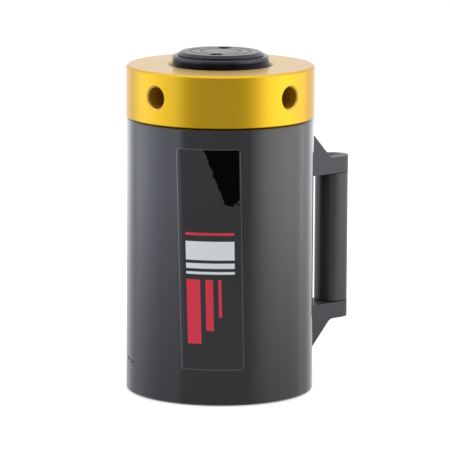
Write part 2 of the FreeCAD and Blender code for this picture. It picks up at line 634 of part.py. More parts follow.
def makeSaddle():
    body = newPiece("saddle")
    stub = "Place.stubRadius"
    seat = "Place.plungerTop + Dim.seatGap"
    ringFloor = f"{stub} - Dim.ringWire + Dim.ringGap"
    half = "(Dim.ringWire / 2 + Dim.ringGap)"
    turned(body, [
        ("0", "Place.stubFoot"),
        (f"{stub} - Dim.bodyEdge", "Place.stubFoot"),
        (stub, "Place.stubFoot + Dim.bodyEdge"),
        (stub, f"Place.ringHeight - {half}"),
        (ringFloor, f"Place.ringHeight - {half}"),
        (ringFloor, f"Place.ringHeight + {half}"),
        (stub, f"Place.ringHeight + {half}"),
        (stub, seat),
        ("Place.saddleRadius", seat),
        ("Place.saddleRadius", "Place.saddleTop - Dim.saddleDrop"),
        ("Place.faceRadius", "Place.saddleTop"),
        ("0", "Place.saddleTop"),
    ])
    for inset in ("Dim.outerGrooveInset", "Dim.innerGrooveInset"):
        groove = f"Place.faceRadius - {inset}"
        turned(body, [
            (f"{groove} - Dim.grooveWide / 2", "Place.saddleTop"),
            (groove, "Place.saddleTop - Dim.grooveDeep"),
            (f"{groove} + Dim.grooveWide / 2", "Place.saddleTop"),
        ], cut=True)
    hole = uprightHole(body, "Place.spannerReach", "Dim.spannerTurn",
                       "Place.saddleTop - Dim.spannerDepth", "Place.saddleTop + Dim.cutOver",
                       "Dim.spannerDia / 2")
    aroundZ(body, hole, "Dim.spannerCount")

    ring = newPiece("saddle_ring")
    primitive(ring, "AdditiveTorus", "XY_Plane", ("0", "0", "Place.ringHeight"),
              Radius1=f"{stub} - Dim.ringWire / 2 + Dim.ringGap", Radius2="Dim.ringWire / 2 - Dim.ringGap")


# The lock nut runs on the plunger's thread and has blind holes for a tommy bar

def makeLockNut():
    body = newPiece("lock_nut")
    turned(body, [
        ("Place.nutBore", "Place.nutFoot + Dim.nutMouthEdge"),
        ("Place.nutMouth", "Place.nutFoot"),
        ("Place.nutRadius - Dim.nutFootEdge", "Place.nutFoot"),
        ("Place.nutRadius", "Place.nutFoot + Dim.nutFootEdge"),
        ("Place.nutRadius", "Place.nutTop - Dim.nutTopEdge"),
        ("Place.nutRadius - Dim.nutTopEdge", "Place.nutTop"),
        ("Place.nutMouth", "Place.nutTop"),
        ("Place.nutBore", "Place.nutTop - Dim.nutMouthEdge"),
    ])
    height = "Place.nutFoot + Dim.tommyRise"
    hole = radialHole(body, "Dim.tommyTurn", height, "Place.nutRadius - Dim.tommyDepth",
                      "Place.nutRadius + Dim.cutOver", "Dim.tommyDia / 2")
    aroundZ(body, hole, "Dim.tommyCount")
    mouthFoot = "Place.nutRadius - Dim.tommyEdge"
    cone = primitive(body, "SubtractiveCone", "YZ_Plane", radialShift("Dim.tommyTurn", mouthFoot, height),
                     "Dim.tommyTurn", Radius1="Dim.tommyDia / 2",
                     Radius2="Dim.tommyDia / 2 + 2 * Dim.tommyEdge", Height="2 * Dim.tommyEdge")
    aroundZ(body, cone, "Dim.tommyCount")


# A bracket is an arm with a round end and a gusset that spreads the pull along the body

def makeBracket(label, tip, armFace, gripFace, screwHeight, upward):
    body = newPiece(label)
    way = "" if upward else "-1 * "
    half = "Dim.bracketWidth / 2"
    root = "Place.bodyRadius - Dim.bracketWidth / 4"
    lift = f"{way}((Place.bodyRadius - ({root})) * Dim.gussetRise / Dim.gussetReach)"
    tall = f"{tip} + {lift}"
    plan = body.newObject("Sketcher::SketchObject", label + "Plan")
    attach(plan, body, "XY_Plane", ("0", "0", gripFace if upward else tall))
    near, far, side = value(root), value("Place.gripReach"), value(half)
    spots = [(far, -side), (near, -side), (near, side), (far, side)]
    for start, end in zip(spots, spots[1:]):
        plan.addGeometry(Part.LineSegment(FreeCAD.Vector(*start, 0), FreeCAD.Vector(*end, 0)), False)
    roundEnd = Part.Circle(FreeCAD.Vector(far, 0, 0), FreeCAD.Vector(0, 0, 1), side)
    plan.addGeometry(Part.ArcOfCircle(roundEnd, -math.pi / 2, math.pi / 2), False)
    plan.addConstraint([
        Sketcher.Constraint("Coincident", 0, 2, 1, 1),
        Sketcher.Constraint("Coincident", 1, 2, 2, 1),
        Sketcher.Constraint("Tangent", 0, 1, 3, 1),
        Sketcher.Constraint("Tangent", 2, 2, 3, 2),
        Sketcher.Constraint("Horizontal", 0),
        Sketcher.Constraint("Vertical", 1),
        Sketcher.Constraint("PointOnObject", 3, 3, -1),
    ])
    for kind, where, expression, size in (("DistanceX", (-1, 1, 3, 3), "Place.gripReach", far),
                                          ("DistanceX", (-1, 1, 1, 1), root, near),
                                          ("Radius", (3,), half, side)):
        number = plan.addConstraint(Sketcher.Constraint(kind, *where, size))
        plan.setExpression(f"Constraints[{number}]", expression)
    pad = body.newObject("PartDesign::Pad", label + "Pad")
    pad.Profile = plan
    pad.setExpression("Length", f"abs({tall} - ({gripFace}))")
    body.Tip = pad

    beyond = "Place.armEnd + Dim.bodyEdge"
    slope = outline(body, [
        (root, tall),
        ("Place.knee", armFace),
        (beyond, armFace),
        (beyond, f"{tall} + {way}Dim.bodyEdge"),
        (root, f"{tall} + {way}Dim.bodyEdge"),
    ])
    pocket = body.newObject("PartDesign::Pocket", label + "Slope")
    pocket.Profile = slope
    pocket.Type = "ThroughAll"
    pocket.Midplane = True
    body.Tip = pocket
    doc.recompute()

    fillet = body.newObject("PartDesign::Fillet", label + "Fillet")
    fillet.Base = (pocket, edgesAt(pocket.Shape, value("Place.knee"), value(armFace)))
    fillet.setExpression("Radius", "Dim.gussetFillet")
    body.Tip = fillet

    foot = gripFace if upward else tall
    primitive(body, "SubtractiveCylinder", "XY_Plane", ("0", "0", f"{foot} - Dim.cutOver"),
              Radius="Place.bodyRadius + Dim.seatGap",
              Height=f"abs({tall} - ({gripFace})) + 2 * Dim.cutOver")
    radialHole(body, "0", screwHeight, "Place.bodyRadius - Dim.cutOver", "Place.armEnd",
               "Dim.capScrewDia / 2 + Dim.holeGap")
    radialHole(body, "0", screwHeight, "Place.capSeat", "Place.armEnd",
               "Dim.capHeadDia / 2 + 2 * Dim.holeGap")
    flatSeat(body, ("Place.gripReach", armFace, "0"), "Dim.armThick", upward)


def edgesAt(shape, reach, height):
    # the names of the edges that run along Y through one point of the side view
    names = []
    for number, edge in enumerate(shape.Edges, start=1):
        spots = [vertex.Point for vertex in edge.Vertexes]
        if all(math.dist((spot.x, spot.z), (reach, height)) < nearEnough for spot in spots):
            names.append(f"Edge{number}")
    return names


def makeGrip():
    body = newPiece("handle_grip")
    radius = "Dim.gripDia / 2"
    foot = "Place.gripFoot + Dim.seatGap"
    top = "Place.gripTop - Dim.seatGap"
    turned(body, [
        ("0", foot),
        (f"{radius} - Dim.gripEdge", foot),
        (radius, f"{foot} + Dim.gripEdge"),
        (radius, f"{top} - Dim.gripEdge"),
        (f"{radius} - Dim.gripEdge", top),
        ("0", top),
    ], shift=("Place.gripReach", "0", "0"))
    tap = "Dim.flatScrewDia / 2 + Dim.threadGap"
    uprightHole(body, "Place.gripReach", "0", f"{foot} - Dim.cutOver", f"{foot} + Place.gripTap", tap)
    uprightHole(body, "Place.gripReach", "0", f"{top} - Place.gripTap", f"{top} + Dim.cutOver", tap)


def makeCapScrew(label, height):
    body = newPiece(label)
    seat = "Place.capSeat + Dim.seatGap"
    head = f"{seat} + Dim.capHeadHeight"
    turned(body, [
        ("Place.capTipReach", "0"),
        ("Place.capTipReach", "Dim.capScrewDia / 2 - Dim.bodyEdge"),
        ("Place.capTipReach + Dim.bodyEdge", "Dim.capScrewDia / 2"),
        (seat, "Dim.capScrewDia / 2"),
        (seat, "Dim.capHeadDia / 2"),
        (f"{head} - Dim.gripEdge", "Dim.capHeadDia / 2"),
        (head, "Dim.capHeadDia / 2 - Dim.gripEdge"),
        (head, "0"),
    ], axis="H_Axis", shift=("0", height, "0"))
    hexSocket(body, "YZ_Plane", radialShift("0", f"{head} - Dim.capKeyDepth", height), "0",
              "Dim.capKey", "Dim.capKeyDepth")


# The coupler is screwed into the oil port; a sprung valve closes its socket

def makeCoupler():
    body = newPiece("coupler_body")
    hexRadius = "Dim.couplerHex / 2"
    neck = "Place.couplerNeckRadius"
    nose = "Place.noseRadius"
    socket = "Place.socketRadius"
    chamber = "Place.chamberRadius"
    throat = "Dim.passageDia / 2"
    atPort = ("0", "Dim.portHeight", "0")
    stem = "Dim.portDia / 2 - Dim.threadGap"
    turned(body, [
        ("Place.stemBack", throat),
        ("Place.stemBack", f"{stem} - Dim.bodyEdge"),
        ("Place.stemBack + Dim.bodyEdge", stem),
        ("Place.hexBack", stem),
        ("Place.hexBack", hexRadius),
        ("Place.hexFront", hexRadius),
        ("Place.hexFront", neck),
        ("Place.neckFront", neck),
        ("Place.neckFront + Dim.couplerEdge", nose),
        ("Place.noseFront - Dim.couplerEdge", nose),
        ("Place.noseFront", f"{nose} - Dim.couplerEdge"),
        ("Place.noseFront", f"{socket} + Dim.couplerEdge"),
        ("Place.noseFront - Dim.couplerEdge", socket),
        ("Place.socketFloor", socket),
        ("Place.socketFloor", "Place.seatRadius"),
        ("Place.seatBack", "Place.seatRadius"),
        ("Place.seatBack", chamber),
        ("Place.chamberBack", chamber),
        ("Place.chamberBack", throat),
    ], axis="H_Axis", shift=atPort, turn="Dim.portTurn")
    # the hexagon's corners stand out of the turned blank
    prism = primitive(body, "AdditivePrism", "YZ_Plane",
                      radialShift("Dim.portTurn", "Place.hexBack", "Dim.portHeight"), "Dim.portTurn",
                      Height="Dim.couplerHexThick")
    prism.Polygon = 6
    prism.setExpression("Circumradius", "Dim.couplerHex / sqrt(3)")
    for back, front, radius in (("Place.chamberBack", "Place.hexFront", chamber),
                                ("Place.hexBack", "Place.chamberBack", throat)):
        radialHole(body, "Dim.portTurn", "Dim.portHeight", back, front, radius)
    half = "(Dim.socketRingWire / 2)"
    ringFloor = f"{socket} + Dim.socketRingWire - 2 * Dim.lipGap"
    turned(body, [
        (f"Place.socketRing - {half}", socket + " - Dim.lipGap"),
        (f"Place.socketRing - {half}", ringFloor),
        (f"Place.socketRing + {half}", ringFloor),
        (f"Place.socketRing + {half}", socket + " - Dim.lipGap"),
    ], axis="H_Axis", cut=True, shift=atPort, turn="Dim.portTurn")

    seal = newPiece("coupler_seal")
    primitive(seal, "AdditiveTorus", "YZ_Plane",
              radialShift("Dim.portTurn", "Place.socketRing", "Dim.portHeight"), "Dim.portTurn",
              Radius1=f"{ringFloor} - {half}", Radius2=f"{half} - Dim.seatGap")

    valve = newPiece("coupler_valve")
    head = "Place.valveRadius"
    noseRadius = "Place.seatRadius - Dim.valveNoseGap"
    stemRadius = "Dim.valveStemDia / 2"
    stemEnd = "Place.valveBack - Dim.valveStem"
    turned(valve, [
        (stemEnd, "0"),
        (stemEnd, stemRadius),
        ("Place.valveBack", stemRadius),
        ("Place.valveBack", head),
        ("Place.valveFace", head),
        ("Place.valveFace", f"{noseRadius} + Dim.bodyEdge"),
        ("Place.valveFace + Dim.bodyEdge", noseRadius),
        ("Place.socketFloor + Dim.valveNose - Dim.bodyEdge", noseRadius),
        ("Place.socketFloor + Dim.valveNose", f"{noseRadius} - Dim.bodyEdge"),
        ("Place.socketFloor + Dim.valveNose", "0"),
    ], axis="H_Axis", shift=atPort, turn="Dim.portTurn")

    spring = coil("coupler_spring", "Dim.valveWire", "Dim.valveCoilDia / 2", "Dim.valveTurns",
                  "Place.chamberBack + Dim.seatGap", "Place.valveBack - Dim.seatGap")
    spring.Placement = FreeCAD.Placement(FreeCAD.Vector(), FreeCAD.Rotation(FreeCAD.Vector(0, 1, 0), 90))
    spring.setExpression(".Placement.Base.z", "Dim.portHeight")
    spring.setExpression(".Placement.Rotation.Axis.x", "-sin(Dim.portTurn)")
    spring.setExpression(".Placement.Rotation.Axis.y", "cos(Dim.portTurn)")


makeBody()
makeBasePlate()
makeGland()
makePlunger()
makePistonRings()
makeAnchor("spring_anchor_lower", "Place.floorTop", True)
makeAnchor("spring_anchor_upper", "Place.cavityTop", False)
coil("return_spring", "Dim.wireDia", "Place.coilRadius", "Dim.springTurns", "Place.springFoot",
     "Place.springTop")
makeSaddle()
makeLockNut()
makeBracket("handle_bracket_lower", "Place.handleFoot", "Place.armFootLow", "Place.gripFoot",
            "Place.capLow", False)
makeBracket("handle_bracket_upper", "Place.handleTop", "Place.armTopHigh", "Place.gripTop",
            "Place.capHigh", True)
makeGrip()
flatScrew(newPiece("handle_grip_screw_lower"), ("Place.gripReach", "Place.armFootLow", "0"),
          "Dim.gripScrewLength", False)
flatScrew(newPiece("handle_grip_screw_upper"), ("Place.gripReach", "Place.armTopHigh", "0"),
          "Dim.gripScrewLength", True)
makeCapScrew("handle_mount_screw_lower", "Place.capLow")
makeCapScrew("handle_mount_screw_upper", "Place.capHigh")
makeCoupler()
doc.recompute()

# Nothing is written unless every feature worked and every piece is a sound solid

for feature in doc.Objects:
    if "Invalid" in feature.State or "Error" in feature.State:
        raise SystemExit(f"{feature.Label} failed: {feature.State}")
for piece in pieces:
    if piece.Shape.isNull() or not piece.Shape.isValid() or not piece.Shape.Solids:
        raise SystemExit(f"{piece.Label} has no sound solid")

os.makedirs("parts", exist_ok=True)
for piece in pieces:
    piece.Shape.exportStep(f"parts/{piece.Label}.step")
    print(f"{piece.Label}: {len(piece.Shape.Solids)} solid, {piece.Shape.Volume / 1000:.1f} cm3")
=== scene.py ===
import json
import math

import bmesh
import bpy
from mathutils import Matrix, Vector

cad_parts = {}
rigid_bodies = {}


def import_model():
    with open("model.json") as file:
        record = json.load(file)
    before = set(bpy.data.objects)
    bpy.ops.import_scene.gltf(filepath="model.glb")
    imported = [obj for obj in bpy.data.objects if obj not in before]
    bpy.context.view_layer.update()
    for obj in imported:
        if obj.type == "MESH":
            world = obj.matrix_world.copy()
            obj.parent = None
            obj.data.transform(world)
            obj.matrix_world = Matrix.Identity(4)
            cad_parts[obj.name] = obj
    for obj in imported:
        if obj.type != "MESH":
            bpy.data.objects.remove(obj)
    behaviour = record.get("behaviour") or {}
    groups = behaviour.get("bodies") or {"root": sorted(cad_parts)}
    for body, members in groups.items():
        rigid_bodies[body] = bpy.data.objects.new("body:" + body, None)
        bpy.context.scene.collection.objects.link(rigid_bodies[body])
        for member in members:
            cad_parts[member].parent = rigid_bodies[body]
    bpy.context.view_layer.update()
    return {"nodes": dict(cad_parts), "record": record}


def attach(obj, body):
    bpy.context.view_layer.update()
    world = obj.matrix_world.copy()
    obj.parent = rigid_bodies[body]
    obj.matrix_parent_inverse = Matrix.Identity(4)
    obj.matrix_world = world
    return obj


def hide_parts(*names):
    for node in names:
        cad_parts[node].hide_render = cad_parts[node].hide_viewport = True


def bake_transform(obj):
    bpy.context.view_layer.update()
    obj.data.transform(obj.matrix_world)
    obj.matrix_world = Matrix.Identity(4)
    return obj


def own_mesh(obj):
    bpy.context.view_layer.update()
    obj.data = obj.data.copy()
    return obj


for leftover in list(bpy.data.objects):
    bpy.data.objects.remove(leftover)
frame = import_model()
nodes = frame["nodes"]
mm = 0.001
bodyRadius = 65 * mm
print("frame loaded:", len(nodes), "pieces")


def atBearing(bearing, reach, height):
    # a point round the plunger's axis
    return Vector((math.cos(bearing) * reach, math.sin(bearing) * reach, height))


def addObject(name, data):
    made = bpy.data.objects.new(name, data)
    bpy.context.scene.collection.objects.link(made)
    return made


# The camera: far off and looking down about ten degrees, with the handle at its right

cameraLook = {
    "distance": 2.7258,      # from the plunger's axis
    "height": 0.5753,
    "bearing": -132.0,       # degrees from +X, where the camera stands
    "swing": 0.0754,         # the view is turned this much past the axis
    "pitch": 9.5758,
    "roll": 0.2667,
    "sensor": 36.0,
    "lens": 317.33,
    "clip": (0.1, 50),
}


def makeCamera(look):
    bearing, pitch, roll = (math.radians(look[name]) for name in ("bearing", "pitch", "roll"))
    heading = bearing + math.pi - math.radians(look["swing"])
    ahead = atBearing(heading, math.cos(pitch), -math.sin(pitch))
    right = ahead.cross(Vector((0, 0, 1))).normalized()
    up = right.cross(ahead)
    across = right * math.cos(roll) + up * math.sin(roll)
    upward = up * math.cos(roll) - right * math.sin(roll)
    data = bpy.data.cameras.new("camera")
    data.sensor_width = look["sensor"]
    data.lens = look["lens"]
    data.clip_start, data.clip_end = look["clip"]
    stand = Matrix((across, upward, -ahead)).transposed().to_4x4()
    stand.translation = atBearing(bearing, look["distance"], look["height"])
    camera = addObject("camera", data)
    camera.matrix_world = stand
    bpy.context.scene.camera = camera


makeCamera(cameraLook)
bpy.context.scene.view_settings.view_transform = "Standard"
print("camera placed")


# Node helpers

def addNode(tree, kind, fields=None, **inputs):
    node = tree.nodes.new(kind)
    for name, setting in (fields or {}).items():
        setattr(node, name, setting)
    for name, source in inputs.items():
        plug(tree, node, name, source)
    return node


def plug(tree, node, name, source):
    # name is the socket's own, with _ for a space, or its number, as in i0; a source is a socket
    # of another node or a plain value
    key = int(name[1:]) if name[1:].isdigit() else name.replace("_", " ")
    socket = node.inputs[key]
    if isinstance(source, bpy.types.NodeSocket):
        tree.links.new(source, socket)
    else:
        socket.default_value = source


def sums(tree, operation, *sources):
    node = addNode(tree, "ShaderNodeMath", {"operation": operation})
    for number, source in enumerate(sources):
        plug(tree, node, f"i{number}", source)
    return node.outputs[0]


def ramp(tree, source, stops, smooth=False):
    node = addNode(tree, "ShaderNodeValToRGB", Fac=source)
    band = node.color_ramp
    band.interpolation = "EASE" if smooth else "LINEAR"
    while len(band.elements) < len(stops):
        band.elements.new(0.5)
    for element, (position, tone) in zip(band.elements, stops):
        element.position = position
        element.color = (*tone, 1) if isinstance(tone, tuple) else (tone, tone, tone, 1)
    return node.outputs["Color"]


def blendColor(tree, factor, first, second, way="MIX"):
    node = addNode(tree, "ShaderNodeMix", {"data_type": "RGBA", "blend_type": way})
    plug(tree, node, "i0", factor)
    for number, tone in ((6, first), (7, second)):
        plug(tree, node, f"i{number}", (*tone, 1) if isinstance(tone, tuple) else tone)
    return node.outputs[2]


def newGroup(name, inputs, outputs):
    group = bpy.data.node_groups.new(name, "ShaderNodeTree")
    for title, kind, start in inputs:
        socket = group.interface.new_socket(title, in_out="INPUT", socket_type=kind)
        if start is not None:
            socket.default_value = start
    for title, kind in outputs:
        group.interface.new_socket(title, in_out="OUTPUT", socket_type=kind)
    return group, group.nodes.new("NodeGroupInput").outputs, group.nodes.new("NodeGroupOutput")


def newMaterial(name):
    material = bpy.data.materials.new(name)
    material.use_nodes = True
    material.node_tree.nodes.clear()
    return material, material.node_tree


def place(tree, group, **inputs):
    node = tree.nodes.new("ShaderNodeGroup")
    node.node_tree = group
    for name, source in inputs.items():
        plug(tree, node, name, source)
    return node.outputs


# What the studio looks like from the object: dark behind the camera, a soft panel on each
# side and white behind the object

studioTones = {
    "bearing": -132.0,
    "cool": (1.0, 1.02, 1.15),
    "plain": (1.0, 1.0, 1.02),
    "overhead": (1.0, 1.0, 1.0),
    "sidesEnd": 0.35,        # how steeply one looks up there, 1 is straight up
    "roofStart": 0.75,
    # angle from the camera's side, brightness and tint there
    "sides": [(-180, 0.95, "plain"), (-150, 0.92, "plain"), (-140, 0.70, "cool"), (-129, 0.62, "cool"),
              (-120, 1.00, "cool"), (-112, 1.10, "cool"), (-104, 1.14, "cool"), (-90, 1.04, "cool"),
              (-76, 0.88, "cool"), (-52, 0.85, "cool"), (-45, 0.35, "plain"), (36, 0.33, "plain"),
              (58, 1.12, "plain"), (70, 1.30, "plain"), (86, 1.38, "plain"), (100, 1.25, "plain"),
              (113, 1.02, "plain"), (121, 1.25, "plain"), (128, 0.80, "plain"), (140, 0.66, "plain"),
              (150, 0.92, "plain"), (180, 0.95, "plain")],
}


def makeStudio(tones):
    group, given, result = newGroup("studioSurround", [("Vector", "NodeSocketVector", None)],
                                    [("Color", "NodeSocketColor")])
    turn = addNode(group, "ShaderNodeMapping", Vector=given["Vector"],
                   Rotation=(0, 0, -math.radians(tones["bearing"])))
    bearing = addNode(group, "ShaderNodeTexGradient", {"gradient_type": "RADIAL"}, Vector=turn.outputs[0])
    around = ramp(group, bearing.outputs["Fac"], [
        ((angle + 180) / 360, tuple(channel * bright for channel in tones[tint]))
        for angle, bright, tint in tones["sides"]])
    rise = addNode(group, "ShaderNodeSeparateXYZ", i0=addNode(
        group, "ShaderNodeVectorMath", {"operation": "NORMALIZE"}, i0=given["Vector"]).outputs[0])
    high = ramp(group, rise.outputs["Z"], [(tones["sidesEnd"], 0.0), (tones["roofStart"], 1.0)],
                smooth=True)
    tone = blendColor(group, high, around, tones["overhead"])
    group.links.new(tone, result.inputs["Color"])
    return group


studio = makeStudio(studioTones)

worldLight = {"ambient": (0.62, 0.63, 0.65), "backdrop": (1.0, 1.0, 1.0)}


def makeWorld(light):
    world = bpy.data.worlds.new("studio")
    bpy.context.scene.world = world
    world.use_nodes = True
    tree = world.node_tree
    tree.nodes.clear()
    sight = addNode(tree, "ShaderNodeLightPath")
    around = addNode(tree, "ShaderNodeTexCoord").outputs["Generated"]
    mirrored = place(tree, studio, Vector=around)["Color"]
    tone = blendColor(tree, sight.outputs["Is Glossy Ray"], light["ambient"], mirrored)
    seen = sums(tree, "MAXIMUM", sight.outputs["Is Camera Ray"], sight.outputs["Is Transmission Ray"])
    tone = blendColor(tree, seen, tone, light["backdrop"])
    shine = addNode(tree, "ShaderNodeBackground", Color=tone)
    addNode(tree, "ShaderNodeOutputWorld", Surface=shine.outputs[0])


makeWorld(worldLight)

floorLook = {
    "size": 30.0,
    "drop": 0.0003,
    "albedo": (0.5, 0.5, 0.5),
    "lift": 0.62,            # added to what the camera sees, so that the paper is white
    "nearFloor": 0.07,       # from here to farFloor the mirrored paper goes from nearTone to farTone: a painted shadow of the object, darkest near the foot
    "farFloor": 1.1,
    "nearTone": 0.78,
    "farTone": 1.22,
    # painted shadow: near the foot the mirrored paper is mixed towards a grey
    "footShade": 0.66,
    "footShadeTone": (0.60, 0.60, 0.62),
    "footShadeEnd": 0.85,
    "rounds": 3,             # how often the bend of the panels' edges is worked out
    "widest": 3.1,           # radians, just short of half a turn
}


def unbent(tree, spot, reach, look):
    # the panels' edges are drawn bent on the paper near the foot, so that the round wall mirrors
    # them upright
    camera = math.radians(studioTones["bearing"])
    turn = addNode(tree, "ShaderNodeMapping", Vector=spot, Rotation=(0, 0, -camera)).outputs[0]
    part = addNode(tree, "ShaderNodeSeparateXYZ", i0=turn)
    bearing = sums(tree, "ARCTAN2", part.outputs["Y"], part.outputs["X"])
    share = sums(tree, "MINIMUM", sums(tree, "DIVIDE", bodyRadius, reach), 1.0)
    angle = bearing
    for step in range(look["rounds"]):
        half = sums(tree, "SINE", sums(tree, "MULTIPLY", angle, 0.5))
        angle = sums(tree, "ADD", bearing, sums(tree, "ARCSINE", sums(tree, "MULTIPLY", share, half)))
        angle = sums(tree, "MINIMUM", sums(tree, "MAXIMUM", angle, -look["widest"]), look["widest"])
    whole = sums(tree, "ADD", angle, camera)
    return addNode(tree, "ShaderNodeCombineXYZ", X=sums(tree, "COSINE", whole),
                   Y=sums(tree, "SINE", whole)).outputs[0]


def makeFloor(look):
    mesh = bpy.data.meshes.new("floor")
    half = look["size"] / 2
    mesh.from_pydata([(-half, -half, 0), (half, -half, 0), (half, half, 0), (-half, half, 0)],
                     [], [(0, 1, 2, 3)])
    mesh.transform(Matrix.Translation((0, 0, -look["drop"])))
    floor = addObject("floor", mesh)
    material, tree = newMaterial("floorPaper")
    sight = addNode(tree, "ShaderNodeLightPath")
    spot = addNode(tree, "ShaderNodeTexCoord").outputs["Object"]
    paper = addNode(tree, "ShaderNodeBsdfDiffuse", Color=(*look["albedo"], 1))
    lift = addNode(tree, "ShaderNodeEmission", Strength=sums(
        tree, "MULTIPLY", sight.outputs["Is Camera Ray"], look["lift"]))
    seen = addNode(tree, "ShaderNodeAddShader", i0=paper.outputs[0], i1=lift.outputs[0])
    reach = addNode(tree, "ShaderNodeVectorMath", {"operation": "LENGTH"}, i0=spot).outputs["Value"]
    # painted shadow: the mirrored paper is dimmer and greyer near the foot
    nearness = addNode(tree, "ShaderNodeMapRange", Value=reach, From_Min=look["nearFloor"],
                       From_Max=look["farFloor"], To_Min=look["nearTone"],
                       To_Max=look["farTone"]).outputs[0]
    footShade = addNode(tree, "ShaderNodeMapRange", Value=reach, From_Min=look["nearFloor"],
                   From_Max=look["footShadeEnd"], To_Min=look["footShade"], To_Max=0.0).outputs[0]
    surround = place(tree, studio, Vector=unbent(tree, spot, reach, look))["Color"]
    dull = blendColor(tree, footShade, surround, look["footShadeTone"])
    mirrored = addNode(tree, "ShaderNodeEmission", Color=dull, Strength=nearness)
    both = addNode(tree, "ShaderNodeMixShader", i0=sight.outputs["Is Glossy Ray"], i1=seen.outputs[0],
                   i2=mirrored.outputs[0])
    addNode(tree, "ShaderNodeOutputMaterial", Surface=both.outputs[0])
    mesh.materials.append(material)


makeFloor(floorLook)

lampAim = Vector((0, 0, 0.12))
lampLooks = {
    "leftPanel": {"bearing": 140.0, "rise": 1.2, "reach": 1.6, "size": 1.4, "power": 16},
    "rightPanel": {"bearing": -42.0, "rise": 1.2, "reach": 1.6, "size": 1.4, "power": 18},
    "overhead": {"bearing": -132.0, "rise": 2.4, "reach": 0.5, "size": 1.8, "power": 22},
}


def makeLamps(looks):
    for name, look in looks.items():
        data = bpy.data.lights.new(name, "AREA")
        data.shape = "SQUARE"
        data.size = look["size"]
        data.energy = look["power"]
        lamp = addObject(name, data)
        spot = atBearing(math.radians(look["bearing"]), look["reach"], look["rise"])
        lamp.rotation_euler = (lampAim - spot).to_track_quat("-Z", "Y").to_euler()
        lamp.location = spot
        lamp.visible_glossy = False


makeLamps(lampLooks)
print("studio lit")


# Shared effects

def makeTurning():
    # rings left by the lathe: the pattern runs along the axis on a wall and outwards on a face
    group, given, result = newGroup("turningMarks", [
        ("Vector", "NodeSocketVector", None), ("Pitch", "NodeSocketFloat", 0.5 * mm),
        ("Seed", "NodeSocketFloat", 0.0)], [("Height", "NodeSocketFloat"), ("Tone", "NodeSocketFloat")])
    part = addNode(group, "ShaderNodeSeparateXYZ", i0=given["Vector"])
    reach = sums(group, "SQRT", sums(group, "ADD", sums(group, "POWER", part.outputs["X"], 2.0),
                                     sums(group, "POWER", part.outputs["Y"], 2.0)))
    along = sums(group, "DIVIDE", sums(group, "ADD", part.outputs["Z"], reach), given["Pitch"])
    shifted = sums(group, "ADD", along, given["Seed"])
    fine = addNode(group, "ShaderNodeTexNoise", {"noise_dimensions": "1D"}, W=shifted, Scale=1.0,
                   Detail=2.0)
    wave = sums(group, "SINE", sums(group, "MULTIPLY", shifted, 2 * math.pi))
    height = sums(group, "ADD", sums(group, "MULTIPLY", wave, 0.25), fine.outputs["Fac"])
    group.links.new(height, result.inputs["Height"])
    group.links.new(fine.outputs["Fac"], result.inputs["Tone"])
    return group


def makeHandling():
    # broad faint smears and a fine grain, as an oiled and wiped surface has them
    group, given, result = newGroup("handlingMarks", [
        ("Vector", "NodeSocketVector", None), ("Size", "NodeSocketFloat", 55 * mm),
        ("Grain", "NodeSocketFloat", 0.35 * mm)],
        [("Smear", "NodeSocketFloat"), ("Grain", "NodeSocketFloat")])
    broad = addNode(group, "ShaderNodeTexNoise", Vector=given["Vector"],
                    Scale=sums(group, "DIVIDE", 1.0, given["Size"]), Detail=1.0, Distortion=0.8)
    grain = addNode(group, "ShaderNodeTexNoise", Vector=given["Vector"],
                    Scale=sums(group, "DIVIDE", 1.0, given["Grain"]), Detail=1.0)
    group.links.new(ramp(group, broad.outputs["Fac"], [(0.35, 0.0), (0.68, 1.0)], smooth=True),
                    result.inputs["Smear"])
    group.links.new(grain.outputs["Fac"], result.inputs["Grain"])
    return group


def makeEdgeWear():
    # the rubbed rim of every edge, broken up along it, with the edge's rounding for the bump
    group, given, result = newGroup("edgeWear", [
        ("Vector", "NodeSocketVector", None), ("Breakup", "NodeSocketFloat", 2.5 * mm)],
        [("Mask", "NodeSocketFloat"), ("Normal", "NodeSocketVector")])
    rounded = addNode(group, "ShaderNodeBevel", {"samples": 4}, Radius=0.4 * mm)
    plain = addNode(group, "ShaderNodeNewGeometry").outputs["Normal"]
    along = addNode(group, "ShaderNodeVectorMath", {"operation": "DOT_PRODUCT"},
                    i0=rounded.outputs[0], i1=plain)
    rim = ramp(group, along.outputs["Value"], [(0.86, 1.0), (0.985, 0.0)])
    noise = addNode(group, "ShaderNodeTexNoise", Vector=given["Vector"],
                    Scale=sums(group, "DIVIDE", 1.0, given["Breakup"]), Detail=2.0)
    patchy = ramp(group, noise.outputs["Fac"], [(0.35, 0.1), (0.65, 1.0)])
    group.links.new(sums(group, "MULTIPLY", rim, patchy), result.inputs["Mask"])
    group.links.new(rounded.outputs[0], result.inputs["Normal"])
    return group


def makeScuff():
    # one short scratch: a stretched spot on the wall, at a place and along a slope
    group, given, result = newGroup("scuffMark", [
        ("Vector", "NodeSocketVector", None), ("Spot", "NodeSocketVector", None),
        ("Slope", "NodeSocketVector", None), ("Stretch", "NodeSocketVector", None)],
        [("Mask", "NodeSocketFloat")])
    moved = addNode(group, "ShaderNodeMapping", {"vector_type": "TEXTURE"}, Vector=given["Vector"],
                    Location=given["Spot"], Rotation=given["Slope"], Scale=given["Stretch"])
    blob = addNode(group, "ShaderNodeTexGradient", {"gradient_type": "SPHERICAL"}, Vector=moved.outputs[0])
    group.links.new(ramp(group, blob.outputs["Fac"], [(0.05, 0.0), (0.5, 1.0)]), result.inputs["Mask"])
    return group


turningMarks = makeTurning()
handlingMarks = makeHandling()
edgeWear = makeEdgeWear()
scuffMark = makeScuff()


# Materials: pitch and ring are the spacing and the depth in mm of the lathe's rings, lines is
# how far they change the tone, smear how much rougher a smear is, wear how far a rim is rubbed

